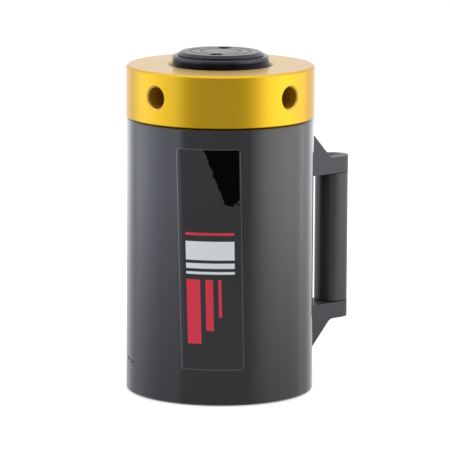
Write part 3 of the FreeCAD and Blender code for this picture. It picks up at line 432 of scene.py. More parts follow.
finishes = {
    "bodyCoat": {"tone": (0.050, 0.051, 0.054), "worn": (0.22, 0.22, 0.22), "metal": 1.0, "rough": 0.20,
                 "pitch": 0.8, "ring": 0.0035, "lines": 0.06, "smear": 0.012, "wear": 0.25,
                 "coat": {"Coat Weight": 1.0, "Coat Roughness": 0.10, "Coat IOR": 1.5}},
    "nutGold": {"tone": (0.97, 0.565, 0.003), "worn": (0.98, 0.80, 0.34), "metal": 1.0, "rough": 0.35,
                "pitch": 0.6, "ring": 0.010, "lines": 0.12, "smear": 0.012, "wear": 0.30,
                "coat": {"Coat Weight": 0.85, "Coat Roughness": 0.22, "Coat IOR": 1.4},
                "edgeTint": (0.75, 0.68, 0.60)},
    "plungerCoat": {"tone": (0.075, 0.077, 0.092), "worn": (0.16, 0.16, 0.17), "metal": 1.0, "rough": 0.22,
                    "pitch": 0.4, "ring": 0.003, "lines": 0.06, "smear": 0.02, "wear": 0.35},
    "saddleSteel": {"tone": (0.105, 0.107, 0.115), "worn": (0.36, 0.36, 0.36), "metal": 1.0, "rough": 0.25,
                    "pitch": 0.7, "ring": 0.010, "lines": 0.18, "smear": 0.03, "wear": 0.45},
    "handleCoat": {"tone": (0.080, 0.080, 0.087), "worn": (0.24, 0.24, 0.24), "metal": 0.6, "rough": 0.38,
                   "pitch": 0.8, "ring": 0.002, "lines": 0.03, "smear": 0.015, "wear": 0.25},
    "plateSteel": {"tone": (0.46, 0.455, 0.45), "worn": (0.6, 0.6, 0.6), "metal": 1.0, "rough": 0.30,
                   "pitch": 0.5, "ring": 0.008, "lines": 0.12, "smear": 0.05, "wear": 0.3},
    "screwSteel": {"tone": (0.05, 0.05, 0.052), "worn": (0.30, 0.30, 0.30), "metal": 1.0, "rough": 0.34,
                   "pitch": 0.4, "ring": 0.004, "lines": 0.06, "smear": 0.03, "wear": 0.5},
    "bronze": {"tone": (0.55, 0.38, 0.20), "worn": (0.7, 0.5, 0.3), "metal": 1.0, "rough": 0.32,
               "pitch": 0.5, "ring": 0.006, "lines": 0.10, "smear": 0.04, "wear": 0.2},
    "sealRubber": {"tone": (0.022, 0.022, 0.024), "worn": (0.05, 0.05, 0.05), "metal": 0.0, "rough": 0.55,
                   "pitch": 0.6, "ring": 0.002, "lines": 0.03, "smear": 0.05, "wear": 0.1},
    "wiperRubber": {"tone": (0.04, 0.04, 0.045), "worn": (0.08, 0.08, 0.08), "metal": 0.0, "rough": 0.5,
                    "pitch": 0.6, "ring": 0.002, "lines": 0.03, "smear": 0.05, "wear": 0.1},
    "guidePlastic": {"tone": (0.70, 0.68, 0.61), "worn": (0.6, 0.6, 0.55), "metal": 0.0, "rough": 0.45,
                     "pitch": 0.6, "ring": 0.003, "lines": 0.04, "smear": 0.04, "wear": 0.1},
    "springSteel": {"tone": (0.30, 0.30, 0.31), "worn": (0.4, 0.4, 0.4), "metal": 1.0, "rough": 0.33,
                    "pitch": 0.4, "ring": 0.002, "lines": 0.04, "smear": 0.04, "wear": 0.1},
    "couplerSteel": {"tone": (0.40, 0.40, 0.405), "worn": (0.60, 0.60, 0.60), "metal": 1.0, "rough": 0.24,
                     "pitch": 0.35, "ring": 0.005, "lines": 0.08, "smear": 0.03, "wear": 0.4},
}
finishOfSlot = {
    "body_coat": "bodyCoat", "nut_gold": "nutGold", "plunger_coat": "plungerCoat",
    "saddle_steel": "saddleSteel", "handle_coat": "handleCoat", "plate_steel": "plateSteel",
    "screw_steel": "screwSteel", "bronze": "bronze", "seal_rubber": "sealRubber",
    "wiper_rubber": "wiperRubber", "guide_plastic": "guidePlastic", "spring_steel": "springSteel",
    "coupler_steel": "couplerSteel",
}
grainShare = 0.12            # how far the fine grain changes a tone
scuffRough = 0.5             # how much rougher a scuff is
scuffDepth = 3 * mm          # how far a scuff reaches in and out of the wall
rubTone = (0.01, 0.01, 0.01)
gripAxis = (106.9 * mm, 0, 0)
oilPort = {"bearing": 45.0, "height": 24.0}
couplerAxis = {"centre": (0, 0, oilPort["height"] * mm),
               "tilt": (0, math.radians(90), math.radians(oilPort["bearing"]))}
bodyScuffs = [
    {"bearing": -71.0, "height": 113.4, "slope": 24.0, "length": 3.6, "width": 0.35, "strength": 0.75},
    {"bearing": -72.8, "height": 112.0, "slope": 32.0, "length": 1.6, "width": 0.3, "strength": 0.5},
    {"bearing": 153.0, "height": 24.0, "slope": -12.0, "length": 4.6, "width": 1.3, "strength": -0.9},
    {"bearing": 160.5, "height": 23.0, "slope": 8.0, "length": 5.4, "width": 1.1, "strength": -0.75},
    {"bearing": 167.0, "height": 22.0, "slope": 14.0, "length": 4.8, "width": 0.9, "strength": -0.5},
    {"bearing": 156.9, "height": 177.6, "slope": 60.0, "length": 1.2, "width": 0.9, "strength": 1.0},
    {"bearing": 30.0, "height": 62.0, "slope": -20.0, "length": 5.0, "width": 0.3, "strength": 0.5},
    {"bearing": 98.0, "height": 140.0, "slope": 65.0, "length": 4.0, "width": 0.3, "strength": 0.45},
]


def makeFinish(name, look, centre=(0, 0, 0), tilt=(0, 0, 0), scuffs=(), hatch=None, holes=None,
               paintedZones=()):
    # centre and tilt bring a piece that isn't turned about the plunger's axis to the lathe's
    material, tree = newMaterial(name)
    spot = addNode(tree, "ShaderNodeTexCoord").outputs["Object"]
    moved = addNode(tree, "ShaderNodeMapping", {"vector_type": "TEXTURE"}, Vector=spot, Location=centre,
                    Rotation=tilt).outputs[0]
    marks = place(tree, turningMarks, Vector=moved, Pitch=look["pitch"] * mm)
    hands = place(tree, handlingMarks, Vector=spot)
    rims = place(tree, edgeWear, Vector=spot)
    low, high = (tuple(min(channel * (1 + side * look["lines"]), 1) for channel in look["tone"])
                 for side in (-1, 1))
    tone = blendColor(tree, marks["Tone"], low, high)
    tone = blendColor(tree, sums(tree, "MULTIPLY", hands["Grain"], grainShare), tone, (0.5, 0.5, 0.5),
                      "OVERLAY")
    if hatch:
        tone = hatched(tree, spot, tone, hatch)
    rubs = []
    for scuff in scuffs:
        tone, rub = scuffed(tree, spot, tone, look, scuff)
        rubs.append(rub)
    tone = blendColor(tree, sums(tree, "MULTIPLY", rims["Mask"], look["wear"]), tone, look["worn"])
    rough = sums(tree, "ADD", look["rough"], sums(tree, "MULTIPLY", hands["Smear"], look["smear"]))
    # painted reflection and painted shade: bands of a piece get a painted tone
    for zone in paintedZones:
        tone, rough = paintedZone(tree, spot, tone, rough, zone)
    metal = look["metal"]
    if holes:
        tone, metal = paintedHoleShade(tree, spot, tone, holes)
    bump = addNode(tree, "ShaderNodeBump", Height=marks["Height"], Strength=1.0, Distance=look["ring"] * mm,
                   Normal=rims["Normal"])
    surface = addNode(tree, "ShaderNodeBsdfPrincipled", Base_Color=tone, Metallic=metal,
                      Roughness=rough, Normal=bump.outputs[0],
                      Specular_Tint=(*look.get("edgeTint", (1, 1, 1)), 1), **look.get("coat", {}))
    if rubs:
        # a scuff has lost its gloss
        whole = rubs[0]
        for rub in rubs[1:]:
            whole = sums(tree, "MAXIMUM", whole, rub)
        plug(tree, surface, "Coat Weight", sums(tree, "SUBTRACT", 1.0, whole))
        plug(tree, surface, "Metallic", sums(tree, "SUBTRACT", look["metal"], whole))
        plug(tree, surface, "Roughness", sums(tree, "MULTIPLY_ADD", whole, scuffRough, rough))
    addNode(tree, "ShaderNodeOutputMaterial", Surface=surface.outputs[0])
    return material


def axisReach(tree, part):
    # how far a point is from the plunger's axis
    flat = addNode(tree, "ShaderNodeCombineXYZ", X=part.outputs["X"], Y=part.outputs["Y"]).outputs[0]
    return addNode(tree, "ShaderNodeVectorMath", {"operation": "LENGTH"}, i0=flat).outputs["Value"]


def paintedZone(tree, spot, tone, rough, zone):
    # a band of a piece, told by its height or its reach, gets a painted tone, lighter where it stands for a
    # reflection and darker where it stands for shade, and a real change of roughness
    part = addNode(tree, "ShaderNodeSeparateXYZ", i0=spot)
    where = axisReach(tree, part) if zone["by"] == "reach" else part.outputs["Z"]
    inside = addNode(tree, "ShaderNodeMapRange", Value=where, From_Min=zone["start"] * mm,
                     From_Max=zone["full"] * mm).outputs[0]
    changed = blendColor(tree, 1.0, tone, zone["tint"], "MULTIPLY")
    if "pale" in zone:
        changed = blendColor(tree, zone["paler"], changed, zone["pale"])
    rough = sums(tree, "MULTIPLY_ADD", inside, zone["rougher"], rough)
    return blendColor(tree, inside, tone, changed), rough


# the nut's top face is painted paler: a painted reflection of the white backdrop at a grazing angle, and a
# real rougher face
nutTopPaintedReflection = {"by": "height", "start": 227.9, "full": 228.3, "tint": (0.95, 0.95, 1.0), "paler": 0.55,
              "pale": (0.90, 0.70, 0.42), "rougher": 0.26}
# the saddle's bevel is tinted darker: painted shade
saddleBevelPaintedShade = {"by": "reach", "start": 27.1, "full": 27.5, "tint": (0.50, 0.50, 0.53), "rougher": 0.0}
# the plunger is tinted darker below the crown's top, on the crown's foot and the thread: painted shade, and
# a real rougher surface
crownFootPaintedShade = {"by": "height", "start": 233.2, "full": 231.8, "tint": (0.20, 0.20, 0.20), "rougher": 0.10}
# the bar holes are painted dark inside: painted shade
nutHoles = {"height": 210.9, "half": 9.2, "wall": 64.1, "rim": 65.1, "tone": (0.40, 0.19, 0.004),
            "rimTone": (0.85, 0.58, 0.16), "rimMetal": 0.45, "levelFade": 0.1, "rimFade": 0.2}


def paintedHoleShade(tree, spot, tone, look):
    # painted shade in the bar holes, with a paler rim: everything behind the wall at the
    # holes' height
    part = addNode(tree, "ShaderNodeSeparateXYZ", i0=spot)
    reach = axisReach(tree, part)
    level = fadeBand(tree, part.outputs["Z"], (look["height"] - look["half"]) * mm,
                     (look["height"] + look["half"]) * mm, look["levelFade"] * mm)
    inside, rim = (sums(tree, "MULTIPLY", level, addNode(
        tree, "ShaderNodeMapRange", Value=reach, From_Min=look[edge] * mm,
        From_Max=(look[edge] - look["rimFade"]) * mm).outputs[0]) for edge in ("wall", "rim"))
    tone = blendColor(tree, inside, blendColor(tree, rim, tone, look["rimTone"]), look["tone"])
    metal = sums(tree, "SUBTRACT", sums(tree, "MULTIPLY_ADD", rim, look["rimMetal"] - 1, 1.0),
                 sums(tree, "MULTIPLY", inside, look["rimMetal"]))
    return tone, metal


def scuffed(tree, spot, tone, look, scuff):
    # a bright scratch has a positive strength, a dark rub a negative one
    bearing = math.radians(scuff["bearing"])
    mask = place(tree, scuffMark, Vector=spot, Spot=atBearing(bearing, bodyRadius, scuff["height"] * mm),
                 Slope=(math.radians(scuff["slope"]), 0, bearing),
                 Stretch=(scuffDepth, scuff["length"] * mm, scuff["width"] * mm))["Mask"]
    target = look["worn"] if scuff["strength"] > 0 else rubTone
    rub = sums(tree, "MULTIPLY", mask, abs(scuff["strength"]))
    return blendColor(tree, rub, tone, target), rub


bodyHatch = {"rise": 1.6, "run": 2.9, "from": -116.0, "to": -95.0, "fade": 7.0, "low": 62.0, "high": 172.0,
             "heightFade": 28.0, "depth": 0.66, "ringPitch": 1.7, "ringsFrom": 158.0, "ringsTo": 188.0,
             "ringDepth": 0.30}


def hatched(tree, spot, tone, hatch):
    # chatter of the lathe tool: slanting fine lines on one side of the body
    part = addNode(tree, "ShaderNodeSeparateXYZ", i0=spot)
    bearing = sums(tree, "ARCTAN2", part.outputs["Y"], part.outputs["X"])
    turns = sums(tree, "ADD", sums(tree, "DIVIDE", part.outputs["Z"], hatch["rise"] * mm),
                 sums(tree, "MULTIPLY", bearing, bodyRadius / (hatch["run"] * mm)))
    wave = sums(tree, "SINE", sums(tree, "MULTIPLY", turns, 2 * math.pi))
    degrees = sums(tree, "MULTIPLY", bearing, 180 / math.pi)
    height = sums(tree, "DIVIDE", part.outputs["Z"], mm)
    inside = sums(tree, "MULTIPLY", fadeBand(tree, degrees, hatch["from"], hatch["to"], hatch["fade"]),
                  fadeBand(tree, height, hatch["low"], hatch["high"], hatch["heightFade"]))
    lift = sums(tree, "MULTIPLY_ADD", sums(tree, "MULTIPLY", wave, inside), hatch["depth"], 1.0)
    # plain rings show close under the nut
    rings = sums(tree, "SINE", sums(tree, "MULTIPLY", part.outputs["Z"],
                                    2 * math.pi / (hatch["ringPitch"] * mm)))
    nearNut = addNode(tree, "ShaderNodeMapRange", Value=part.outputs["Z"], From_Min=hatch["ringsFrom"] * mm,
                      From_Max=hatch["ringsTo"] * mm, To_Max=hatch["ringDepth"]).outputs[0]
    lift = sums(tree, "MULTIPLY_ADD", rings, nearNut, lift)
    shade = addNode(tree, "ShaderNodeCombineColor", Red=lift, Green=lift, Blue=lift).outputs[0]
    return blendColor(tree, 1.0, tone, shade, "MULTIPLY")


def fadeBand(tree, source, low, high, fade):
    # 1 between low and high, 0 outside, with soft ends
    rising = addNode(tree, "ShaderNodeMapRange", Value=source, From_Min=low - fade,
                     From_Max=low + fade).outputs[0]
    falling = addNode(tree, "ShaderNodeMapRange", Value=source, From_Min=high - fade, From_Max=high + fade,
                      To_Min=1.0, To_Max=0.0).outputs[0]
    return sums(tree, "MULTIPLY", rising, falling)


ownMarks = {
    "bodyCoat": {"scuffs": bodyScuffs, "hatch": bodyHatch},
    "nutGold": {"holes": nutHoles, "paintedZones": [nutTopPaintedReflection]},
    "plungerCoat": {"paintedZones": [crownFootPaintedShade]},
    "saddleSteel": {"paintedZones": [saddleBevelPaintedShade]},
}
materials = {name: makeFinish(name, look, **ownMarks.get(name, {})) for name, look in finishes.items()}
materials["gripCoat"] = makeFinish("gripCoat", {**finishes["handleCoat"], "rough": 0.30}, centre=gripAxis)
materials["noseSteel"] = makeFinish("noseSteel", finishes["couplerSteel"], **couplerAxis)
ownFinish = {"handle_grip": "gripCoat", "coupler_body": "noseSteel", "coupler_valve": "noseSteel",
             "coupler_seal": "sealRubber"}
for entry in frame["record"]["subparts"]:
    mesh = nodes[entry["node"]].data
    mesh.materials.clear()
    mesh.materials.append(materials[ownFinish.get(entry["node"], finishOfSlot[entry["material_slot"]])])


# Turned shapes and threads

straight = math.radians(172)     # a flatter corner of a profile stays as it is
cutShare = 0.45                  # a round takes no more than this share of a short side
threadWeld = 0.002 * mm
pieceWeld = 0.004 * mm
sharpAngle = math.radians(28)


def softened(profile, radius):
    # every corner of the profile gets a small round, as real edges have
    corners = [Vector(point) for point in profile]
    rounded = [corners[0]]
    for before, corner, after in zip(corners, corners[1:], corners[2:]):
        back, ahead = before - corner, after - corner
        cut = min(radius, back.length * cutShare, ahead.length * cutShare)
        if back.angle(ahead) > straight or corner.x == 0:
            rounded.append(corner)
            continue
        first, last = corner + back.normalized() * cut, corner + ahead.normalized() * cut
        rounded += [first, (first + last) * 0.25 + corner * 0.5, last]
    return rounded + [corners[-1]]


def turnedMesh(shell, profile, segments, outline=None):
    # outline narrows a ring to a hexagon: it gives the reach allowed at an angle
    rings = []
    for reach, height in profile:
        if reach == 0:
            rings.append([shell.verts.new((0, 0, height * mm))])
            continue
        ring = []
        for number in range(segments):
            angle = 2 * math.pi * number / segments
            wide = outline(angle, reach) if outline else reach
            ring.append(shell.verts.new(atBearing(angle, wide * mm, height * mm)))
        rings.append(ring)
    for lower, upper in zip(rings, rings[1:]):
        for number in range(segments):
            following = (number + 1) % segments
            corners = [lower[number % len(lower)], lower[following % len(lower)],
                       upper[following % len(upper)], upper[number % len(upper)]]
            corners = list(dict.fromkeys(corners))
            if len(corners) > 2:
                shell.faces.new(corners)


def newTree(name, measures, counts):
    tree = bpy.data.node_groups.new(name, "GeometryNodeTree")
    tree.interface.new_socket("Geometry", in_out="OUTPUT", socket_type="NodeSocketGeometry")
    for kind, titles in (("Float", measures), ("Int", counts), ("Material", ("Finish",))):
        for title in titles:
            tree.interface.new_socket(title, in_out="INPUT", socket_type="NodeSocket" + kind)
    return tree, tree.nodes.new("NodeGroupInput").outputs


def closeTree(tree, given, shape):
    # every tree ends with its instances made real and its finish set
    real = addNode(tree, "GeometryNodeRealizeInstances", Geometry=shape)
    dressed = addNode(tree, "GeometryNodeSetMaterial", Geometry=real.outputs[0], Material=given["Finish"])
    tree.links.new(dressed.outputs[0], tree.nodes.new("NodeGroupOutput").inputs["Geometry"])
    return tree


def makeThreadTree():
    # one helical strip whose six rows are root, flank, crest, flank and root; both ends run out
    # on a chamfer
    tree, given = newTree("threadRidge", ("Crest Radius", "Root Radius", "Pitch", "Foot", "Top",
                                          "Crest Share", "Flank Share"), ("Segments", "Turns"))
    steps = sums(tree, "MULTIPLY", given["Segments"], given["Turns"])
    rows = 6
    grid = addNode(tree, "GeometryNodeMeshGrid", Size_X=1.0, Size_Y=1.0, Vertices_Y=rows)
    plug(tree, grid, "Vertices X", sums(tree, "ADD", steps, 1.0))
    position = addNode(tree, "GeometryNodeInputPosition")
    where = addNode(tree, "ShaderNodeSeparateXYZ", i0=position.outputs[0])
    turns = sums(tree, "MULTIPLY", sums(tree, "ADD", where.outputs["X"], 0.5), given["Turns"])
    row = sums(tree, "ROUND", sums(tree, "MULTIPLY", sums(tree, "ADD", where.outputs["Y"], 0.5),
                                   rows - 1.0))
    upperHalf = sums(tree, "GREATER_THAN", row, (rows - 1) / 2)
    mirrored = sums(tree, "SUBTRACT", rows - 1.0, row)
    step = sums(tree, "MINIMUM", row, mirrored)                 # 0 root end, 1 flank foot, 2 crest edge
    crestEdge = sums(tree, "SUBTRACT", 0.5, sums(tree, "MULTIPLY", given["Crest Share"], 0.5))
    flankFoot = sums(tree, "SUBTRACT", crestEdge, given["Flank Share"])
    onFlank = sums(tree, "GREATER_THAN", step, 0.5)
    onCrest = sums(tree, "GREATER_THAN", step, 1.5)
    share = sums(tree, "ADD", sums(tree, "MULTIPLY", onFlank, flankFoot),
                 sums(tree, "MULTIPLY", onCrest, given["Flank Share"]))
    share = sums(tree, "ADD", sums(tree, "MULTIPLY", share, sums(tree, "SUBTRACT", 1.0, upperHalf)),
                 sums(tree, "MULTIPLY", sums(tree, "SUBTRACT", 1.0, share), upperHalf))
    rise = sums(tree, "MULTIPLY", sums(tree, "SUBTRACT", sums(tree, "ADD", turns, share), 1.0),
                given["Pitch"])
    height = sums(tree, "MAXIMUM", sums(tree, "ADD", given["Foot"], rise), given["Foot"])
    height = sums(tree, "MINIMUM", height, given["Top"])
    depth = sums(tree, "MULTIPLY", onCrest,
                 sums(tree, "SUBTRACT", given["Crest Radius"], given["Root Radius"]))
    depth = sums(tree, "MINIMUM", depth, sums(tree, "SUBTRACT", given["Top"], height))
    depth = sums(tree, "MINIMUM", depth, sums(tree, "SUBTRACT", height, given["Foot"]))
    reach = sums(tree, "ADD", given["Root Radius"], depth)
    angle = sums(tree, "MULTIPLY", turns, 2 * math.pi)
    spot = addNode(tree, "ShaderNodeCombineXYZ", Z=height,
                   X=sums(tree, "MULTIPLY", sums(tree, "COSINE", angle), reach),
                   Y=sums(tree, "MULTIPLY", sums(tree, "SINE", angle), reach))
    shaped = addNode(tree, "GeometryNodeSetPosition", Geometry=grid.outputs["Mesh"],
                     Position=spot.outputs[0])
    joined = addNode(tree, "GeometryNodeMergeByDistance", Geometry=shaped.outputs[0], Distance=threadWeld)
    return closeTree(tree, given, joined.outputs[0])


threadTree = makeThreadTree()


def grownMesh(tree, settings):
    # the settings go into the tree's inputs, and its result becomes a plain mesh
    holder = addObject("holder", bpy.data.meshes.new("holder"))
    modifier = holder.modifiers.new("growth", "NODES")
    modifier.node_group = tree
    for socket in tree.interface.items_tree:
        if socket.item_type == "SOCKET" and socket.in_out == "INPUT":
            modifier[socket.identifier] = settings[socket.name]
    holder.update_tag()
    bpy.context.view_layer.update()
    evaluated = holder.evaluated_get(bpy.context.evaluated_depsgraph_get())
    mesh = bpy.data.meshes.new_from_object(evaluated)
    holder.modifiers.clear()
    bpy.data.objects.remove(holder)
    return mesh


def threadMesh(look, material):
    return grownMesh(threadTree, {
        "Crest Radius": look["crest"] * mm, "Root Radius": look["root"] * mm, "Pitch": look["pitch"] * mm,
        "Foot": look["foot"] * mm, "Top": look["top"] * mm, "Crest Share": look["crestShare"],
        "Flank Share": look["flankShare"], "Segments": look["segments"],
        "Turns": math.ceil((look["top"] - look["foot"]) / look["pitch"]) + 1, "Finish": material})


def finishedPiece(name, shell, material, placement=Matrix()):
    bmesh.ops.remove_doubles(shell, verts=shell.verts, dist=pieceWeld)
    bmesh.ops.recalc_face_normals(shell, faces=shell.faces)
    shell.transform(placement)
    mesh = bpy.data.meshes.new(name)
    shell.to_mesh(mesh)
    shell.free()
    mesh.materials.clear()
    mesh.materials.append(material)
    for polygon in mesh.polygons:
        polygon.material_index = 0
    mesh.shade_smooth()
    mesh.set_sharp_from_angle(angle=sharpAngle)
    return addObject(name, mesh)


# The plunger: its piston head, the hollow stem, the thread for the lock nut and the crown

plungerLook = {
    "thread": {"crest": 35.0, "root": 33.3, "pitch": 6.0, "foot": 113.05, "top": 230.75,
               "crestShare": 0.42, "flankShare": 0.10, "segments": 96},
    "edge": 0.25,
    # reach and height of each corner, from the thread's top to the saddle's pocket and from the
    # hollow round the piston head to the thread's foot
    "profile": [
        (33.3, 230.75), (33.3, 233.9), (32.5, 234.7), (29.15, 234.7), (29.15, 235.35), (26.15, 235.35),
        (26.15, 225.05), (0, 225.05)],
    "inside": [
        (0, 218.85), (8.1, 218.85), (8.1, 203.35), (23.0, 203.35), (23.0, 42.8), (45.6, 42.8),
        (47.1, 44.3), (47.1, 54.8), (40.5, 54.8), (40.5, 65.3), (47.1, 65.3), (47.1, 69.8), (45.0, 69.8),
        (45.0, 77.8), (47.1, 77.8), (47.1, 81.3), (45.6, 82.8), (35.0, 82.8), (35.0, 106.75),
        (33.0, 108.75), (33.0, 112.75), (33.3, 113.05)],
}


def makePlunger(look):
    shell = bmesh.new()
    for name in ("profile", "inside"):
        turnedMesh(shell, softened(look[name], look["edge"]), look["thread"]["segments"])
    shell.from_mesh(threadMesh(look["thread"], materials["plungerCoat"]))
    piece = finishedPiece("plunger_threaded", shell, materials["plungerCoat"])
    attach(piece, "plunger")
    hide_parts("plunger")


makePlunger(plungerLook)
print("plunger threaded")


# The coupler: a hexagon with chamfered corners and a threaded nose round the socket

couplerLook = {
    "thread": {"crest": 13.5, "root": 12.4, "pitch": 2.0, "foot": 80.68, "top": 100.05,
               "crestShare": 0.16, "flankShare": 0.30, "segments": 72},
    "edge": 0.2,
    "apothem": 13.5,
    "hexBack": 65.05,
    "hexFront": 77.05,
    "chamferFoot": 0.35,                       # the chamfer starts this far inside the flats
    "drops": (0.0, 0.3, 0.6, 0.9, 1.2, 1.5),   # rows of the corners' chamfer
    "slant": 1.6,
    "front": [
        (12.4, 100.05), (10.6, 100.05), (9.6, 99.05), (9.6, 95.15), (11.4, 95.15), (11.4, 92.95),
        (9.6, 92.95), (9.6, 84.05), (6.0, 84.05), (6.0, 82.55), (8.5, 82.55), (8.5, 69.55), (3.0, 69.55),
        (3.0, 49.3), (7.45, 49.3), (8.45, 50.3), (8.45, 65.05)],
    "neck": [(10.5, 77.05), (10.5, 80.05), (12.4, 80.68)],
}


def towardsPort(port):
    # stands a piece that is made along Z on the oil port's axis
    bearing = math.radians(port["bearing"])
    outward = Vector((math.cos(bearing), math.sin(bearing), 0))
    across = Vector((math.sin(bearing), -math.cos(bearing), 0))
    turn = Matrix((across, outward.cross(across), outward)).transposed().to_4x4()
    turn.translation = (0, 0, port["height"] * mm)
    return turn


toPort = towardsPort(oilPort)


def makeCoupler(look):
    shell = bmesh.new()
    segments = look["thread"]["segments"]
    for name in ("front", "neck"):
        turnedMesh(shell, softened(look[name], look["edge"]), segments)

    def sideOfHexagon(angle, reach):
        off = (angle % math.radians(60)) - math.radians(30)
        return min(look["apothem"] / math.cos(off), reach)

    lowest = look["apothem"] - look["chamferFoot"]
    chamfer = [(lowest + drop * look["slant"], drop) for drop in look["drops"]]
    rows = [(reach, look["hexBack"] + drop) for reach, drop in chamfer]
    rows += [(reach, look["hexFront"] - drop) for reach, drop in reversed(chamfer)]
    turnedMesh(shell, [(look["front"][-1][0], look["hexBack"])] + rows[:1], segments)
    turnedMesh(shell, rows, segments, sideOfHexagon)
    turnedMesh(shell, rows[-1:] + [(look["neck"][0][0], look["hexFront"])], segments)
    shell.from_mesh(threadMesh(look["thread"], materials["noseSteel"]))
    piece = finishedPiece("coupler_threaded", shell, materials["noseSteel"], toPort)
    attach(piece, "barrel")
    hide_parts("coupler_body")


makeCoupler(couplerLook)
print("coupler threaded")


# The two springs: coils in place of the model's springs, the smaller one carried with the barrel

def makeCoilTree():
    tree, given = newTree("springCoil", ("Coil Radius", "Wire Radius", "Turns", "Foot", "Top"),
                          ("Steps", "Sides"))
    start = sums(tree, "ADD", given["Foot"], given["Wire Radius"])
    rise = sums(tree, "SUBTRACT", sums(tree, "SUBTRACT", given["Top"], given["Wire Radius"]), start)
    path = addNode(tree, "GeometryNodeCurveSpiral", Resolution=given["Steps"], Rotations=given["Turns"],
                   Start_Radius=given["Coil Radius"], End_Radius=given["Coil Radius"], Height=rise)
    wire = addNode(tree, "GeometryNodeCurvePrimitiveCircle", Resolution=given["Sides"],
                   Radius=given["Wire Radius"])
    swept = addNode(tree, "GeometryNodeCurveToMesh", Curve=path.outputs[0], Profile_Curve=wire.outputs[0],
                    Fill_Caps=True)
    lift = addNode(tree, "ShaderNodeCombineXYZ", Z=start)
    raised = addNode(tree, "GeometryNodeTransform", Geometry=swept.outputs[0],
                     Translation=lift.outputs[0])
    return closeTree(tree, given, raised.outputs[0])


returnCoil = {"Coil Radius": 17.3 * mm, "Wire Radius": 2.0 * mm, "Turns": 14.0, "Foot": 46.55 * mm,
              "Top": 199.3 * mm, "Steps": 40, "Sides": 14}
valveCoil = {"Coil Radius": 4.3 * mm, "Wire Radius": 0.55 * mm, "Turns": 3.0, "Foot": 69.6 * mm,
             "Top": 78.45 * mm, "Steps": 36, "Sides": 12}


def makeCoil(name, settings, placement=Matrix()):
    shell = bmesh.new()
    shell.from_mesh(grownMesh(coilTree, {**settings, "Finish": materials["springSteel"]}))
    piece = finishedPiece(name, shell, materials["springSteel"], placement)
    return piece


coilTree = makeCoilTree()
stretched = makeCoil("return_coil", returnCoil)
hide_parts("return_spring")
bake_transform(stretched)
pressed = makeCoil("valve_coil", valveCoil, toPort)
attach(pressed, "barrel")
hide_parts("coupler_spring")
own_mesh(pressed)
print("springs coiled")


# The label: a thin glossy film with a fine light border; its print is plain bars

filmLook = {
    "inner": 65.02,
    "outer": 65.15,
    "bottom": {"height": 25.4, "from": -155.4, "to": -116.9},
    "top": {"height": 178.2, "from": -159.4, "to": -119.7},
    "corner": 1.6,
    "cornerSteps": 6,
    "columns": 56,
    "width": 44.4,
    "length": 152.8,
    "sharp": 40,
}


def makeFilmMesh(look):
    columns, corner, steps = look["columns"], look["corner"], look["cornerSteps"]
    even = {number / columns for number in range(columns + 1)}
    close = {side + way * step * corner / steps / look["width"]
             for side, way in ((0, 1), (1, -1)) for step in range(1, steps)}
    shares = sorted(even | close)
    shell = bmesh.new()
    layer = shell.loops.layers.uv.new("film")

    def spot(across, along, reach):
        low, high = look["bottom"], look["top"]
        start = low["from"] + (high["from"] - low["from"]) * along
        end = low["to"] + (high["to"] - low["to"]) * along
        angle = math.radians(start + (end - start) * across)
        height = low["height"] + (high["height"] - low["height"]) * along
        return atBearing(angle, reach, height) * mm

    def cutBack(across):
        # how far the rounded corner draws the film's end back at this column
        side = min(across, 1 - across) * look["width"]
        if side >= corner:
            return 0.0
        return (corner - math.sqrt(corner ** 2 - (corner - side) ** 2)) / look["length"]

    sides = {}
    for reach in (look["outer"], look["inner"]):
        for across in shares:
            for end in (0, 1):
                along = cutBack(across) if end == 0 else 1 - cutBack(across)
                sides[reach, across, end] = (shell.verts.new(spot(across, along, reach)), (across, along))

    def addFace(keys):
        face = shell.faces.new([sides[key][0] for key in keys])
        for loop, key in zip(face.loops, keys):
            loop[layer].uv = sides[key][1]

    outer, inner = look["outer"], look["inner"]
    for left, right in zip(shares, shares[1:]):
        addFace([(outer, left, 0), (outer, right, 0), (outer, right, 1), (outer, left, 1)])
        addFace([(inner, left, 1), (inner, right, 1), (inner, right, 0), (inner, left, 0)])
        addFace([(inner, left, 0), (inner, right, 0), (outer, right, 0), (outer, left, 0)])
        addFace([(outer, left, 1), (outer, right, 1), (inner, right, 1), (inner, left, 1)])
    addFace([(inner, 0, 0), (outer, 0, 0), (outer, 0, 1), (inner, 0, 1)])
    addFace([(outer, 1, 0), (inner, 1, 0), (inner, 1, 1), (outer, 1, 1)])
    return shell


filmPrint = {
    "clear": (0.052, 0.053, 0.056),
    "wetOut": (0.001, 0.001, 0.001),
    "border": (0.22, 0.22, 0.23),
    "white": (0.76, 0.80, 0.83),
    "red": (0.72, 0.010, 0.045),
    "rough": 0.10,
    "printRough": 0.15,      # added where the film is printed
    "coat": {"Coat Roughness": 0.05, "Coat IOR": 1.5},
    "borderWide": 0.45,
    "wetDull": 0.9,          # taken from the coat where the film looks wet
    "wetFrom": 0.44,         # left end of the wet patch at the film's top
    "wetTo": 0.975,
    "wetLean": 1.25,
    "wetFoot": 0.755,
    "waver": 180.0,
    "ragged": 0.13,
    "softAcross": 0.003,
    "softAlong": 0.001,
    "bars": [
        # tone, left and right edge across the film, lower and upper edge along it
        ("white", 0.12, 0.88, 0.500, 0.585),
        ("white", 0.12, 0.88, 0.462, 0.486),
        ("white", 0.12, 0.88, 0.436, 0.448),
        ("red", 0.12, 0.88, 0.612, 0.624),
        ("red", 0.12, 0.34, 0.120, 0.412),
        ("red", 0.42, 0.54, 0.180, 0.412),
        ("red", 0.62, 0.67, 0.240, 0.412),
    ],
}


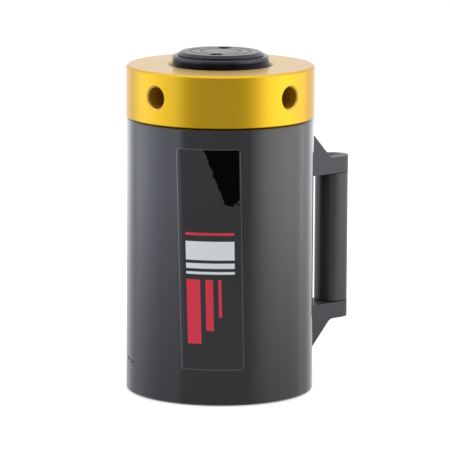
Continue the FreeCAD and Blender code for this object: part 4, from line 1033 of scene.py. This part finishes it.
def makeFilmFinish(look, size):
    material, tree = newMaterial("filmGloss")
    onFilm = addNode(tree, "ShaderNodeUVMap", {"uv_map": "film"}).outputs[0]
    flat = addNode(tree, "ShaderNodeSeparateXYZ", i0=onFilm)
    across, along = flat.outputs["X"], flat.outputs["Y"]
    spot = addNode(tree, "ShaderNodeTexCoord").outputs["Object"]
    waver = addNode(tree, "ShaderNodeTexNoise", Vector=spot, Scale=look["waver"], Detail=3.0).outputs["Fac"]
    ragged = sums(tree, "MULTIPLY", sums(tree, "SUBTRACT", waver, 0.5), look["ragged"])
    # the film lies wet on the metal in its upper right corner and looks black there
    slope = sums(tree, "ADD", sums(tree, "SUBTRACT", across, look["wetFrom"]),
                 sums(tree, "MULTIPLY", sums(tree, "SUBTRACT", along, 1.0), look["wetLean"]))
    wet = sums(tree, "GREATER_THAN", sums(tree, "ADD", slope, ragged), 0.0)
    aboveFoot = sums(tree, "GREATER_THAN", sums(tree, "ADD", along, ragged), look["wetFoot"])
    wet = sums(tree, "MULTIPLY", wet, aboveFoot)
    wet = sums(tree, "MULTIPLY", wet, sums(tree, "LESS_THAN", across, look["wetTo"]))
    tone = blendColor(tree, wet, look["clear"], look["wetOut"])
    edgeAcross = look["borderWide"] / size["width"]
    edgeAlong = look["borderWide"] / size["length"]
    middle = sums(tree, "MULTIPLY", fadeBand(tree, across, edgeAcross, 1 - edgeAcross, edgeAcross / 3),
                  fadeBand(tree, along, edgeAlong, 1 - edgeAlong, edgeAlong / 3))
    tone = blendColor(tree, middle, look["border"], tone)
    printed = None
    for name, left, right, low, high in look["bars"]:
        bar = sums(tree, "MULTIPLY", fadeBand(tree, across, left, right, look["softAcross"]),
                   fadeBand(tree, along, low, high, look["softAlong"]))
        tone = blendColor(tree, bar, tone, look[name])
        printed = bar if printed is None else sums(tree, "MAXIMUM", printed, bar)
    metal = sums(tree, "SUBTRACT", 1.0, printed)
    rough = sums(tree, "MULTIPLY_ADD", printed, look["printRough"], look["rough"])
    coat = sums(tree, "MULTIPLY_ADD", wet, -look["wetDull"], 1.0)
    surface = addNode(tree, "ShaderNodeBsdfPrincipled", Base_Color=tone, Metallic=metal, Roughness=rough,
                      Coat_Weight=coat, **look["coat"])
    addNode(tree, "ShaderNodeOutputMaterial", Surface=surface.outputs[0])
    return material


def makeFilm(look, looks):
    shell = makeFilmMesh(look)
    mesh = bpy.data.meshes.new("label_film")
    bmesh.ops.recalc_face_normals(shell, faces=shell.faces)
    shell.to_mesh(mesh)
    shell.free()
    mesh.materials.append(makeFilmFinish(looks, look))
    mesh.shade_smooth()
    mesh.set_sharp_from_angle(angle=math.radians(look["sharp"]))
    film = addObject("label_film", mesh)
    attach(film, "barrel")


makeFilm(filmLook, filmPrint)
print("film laid on")


print("scene built")
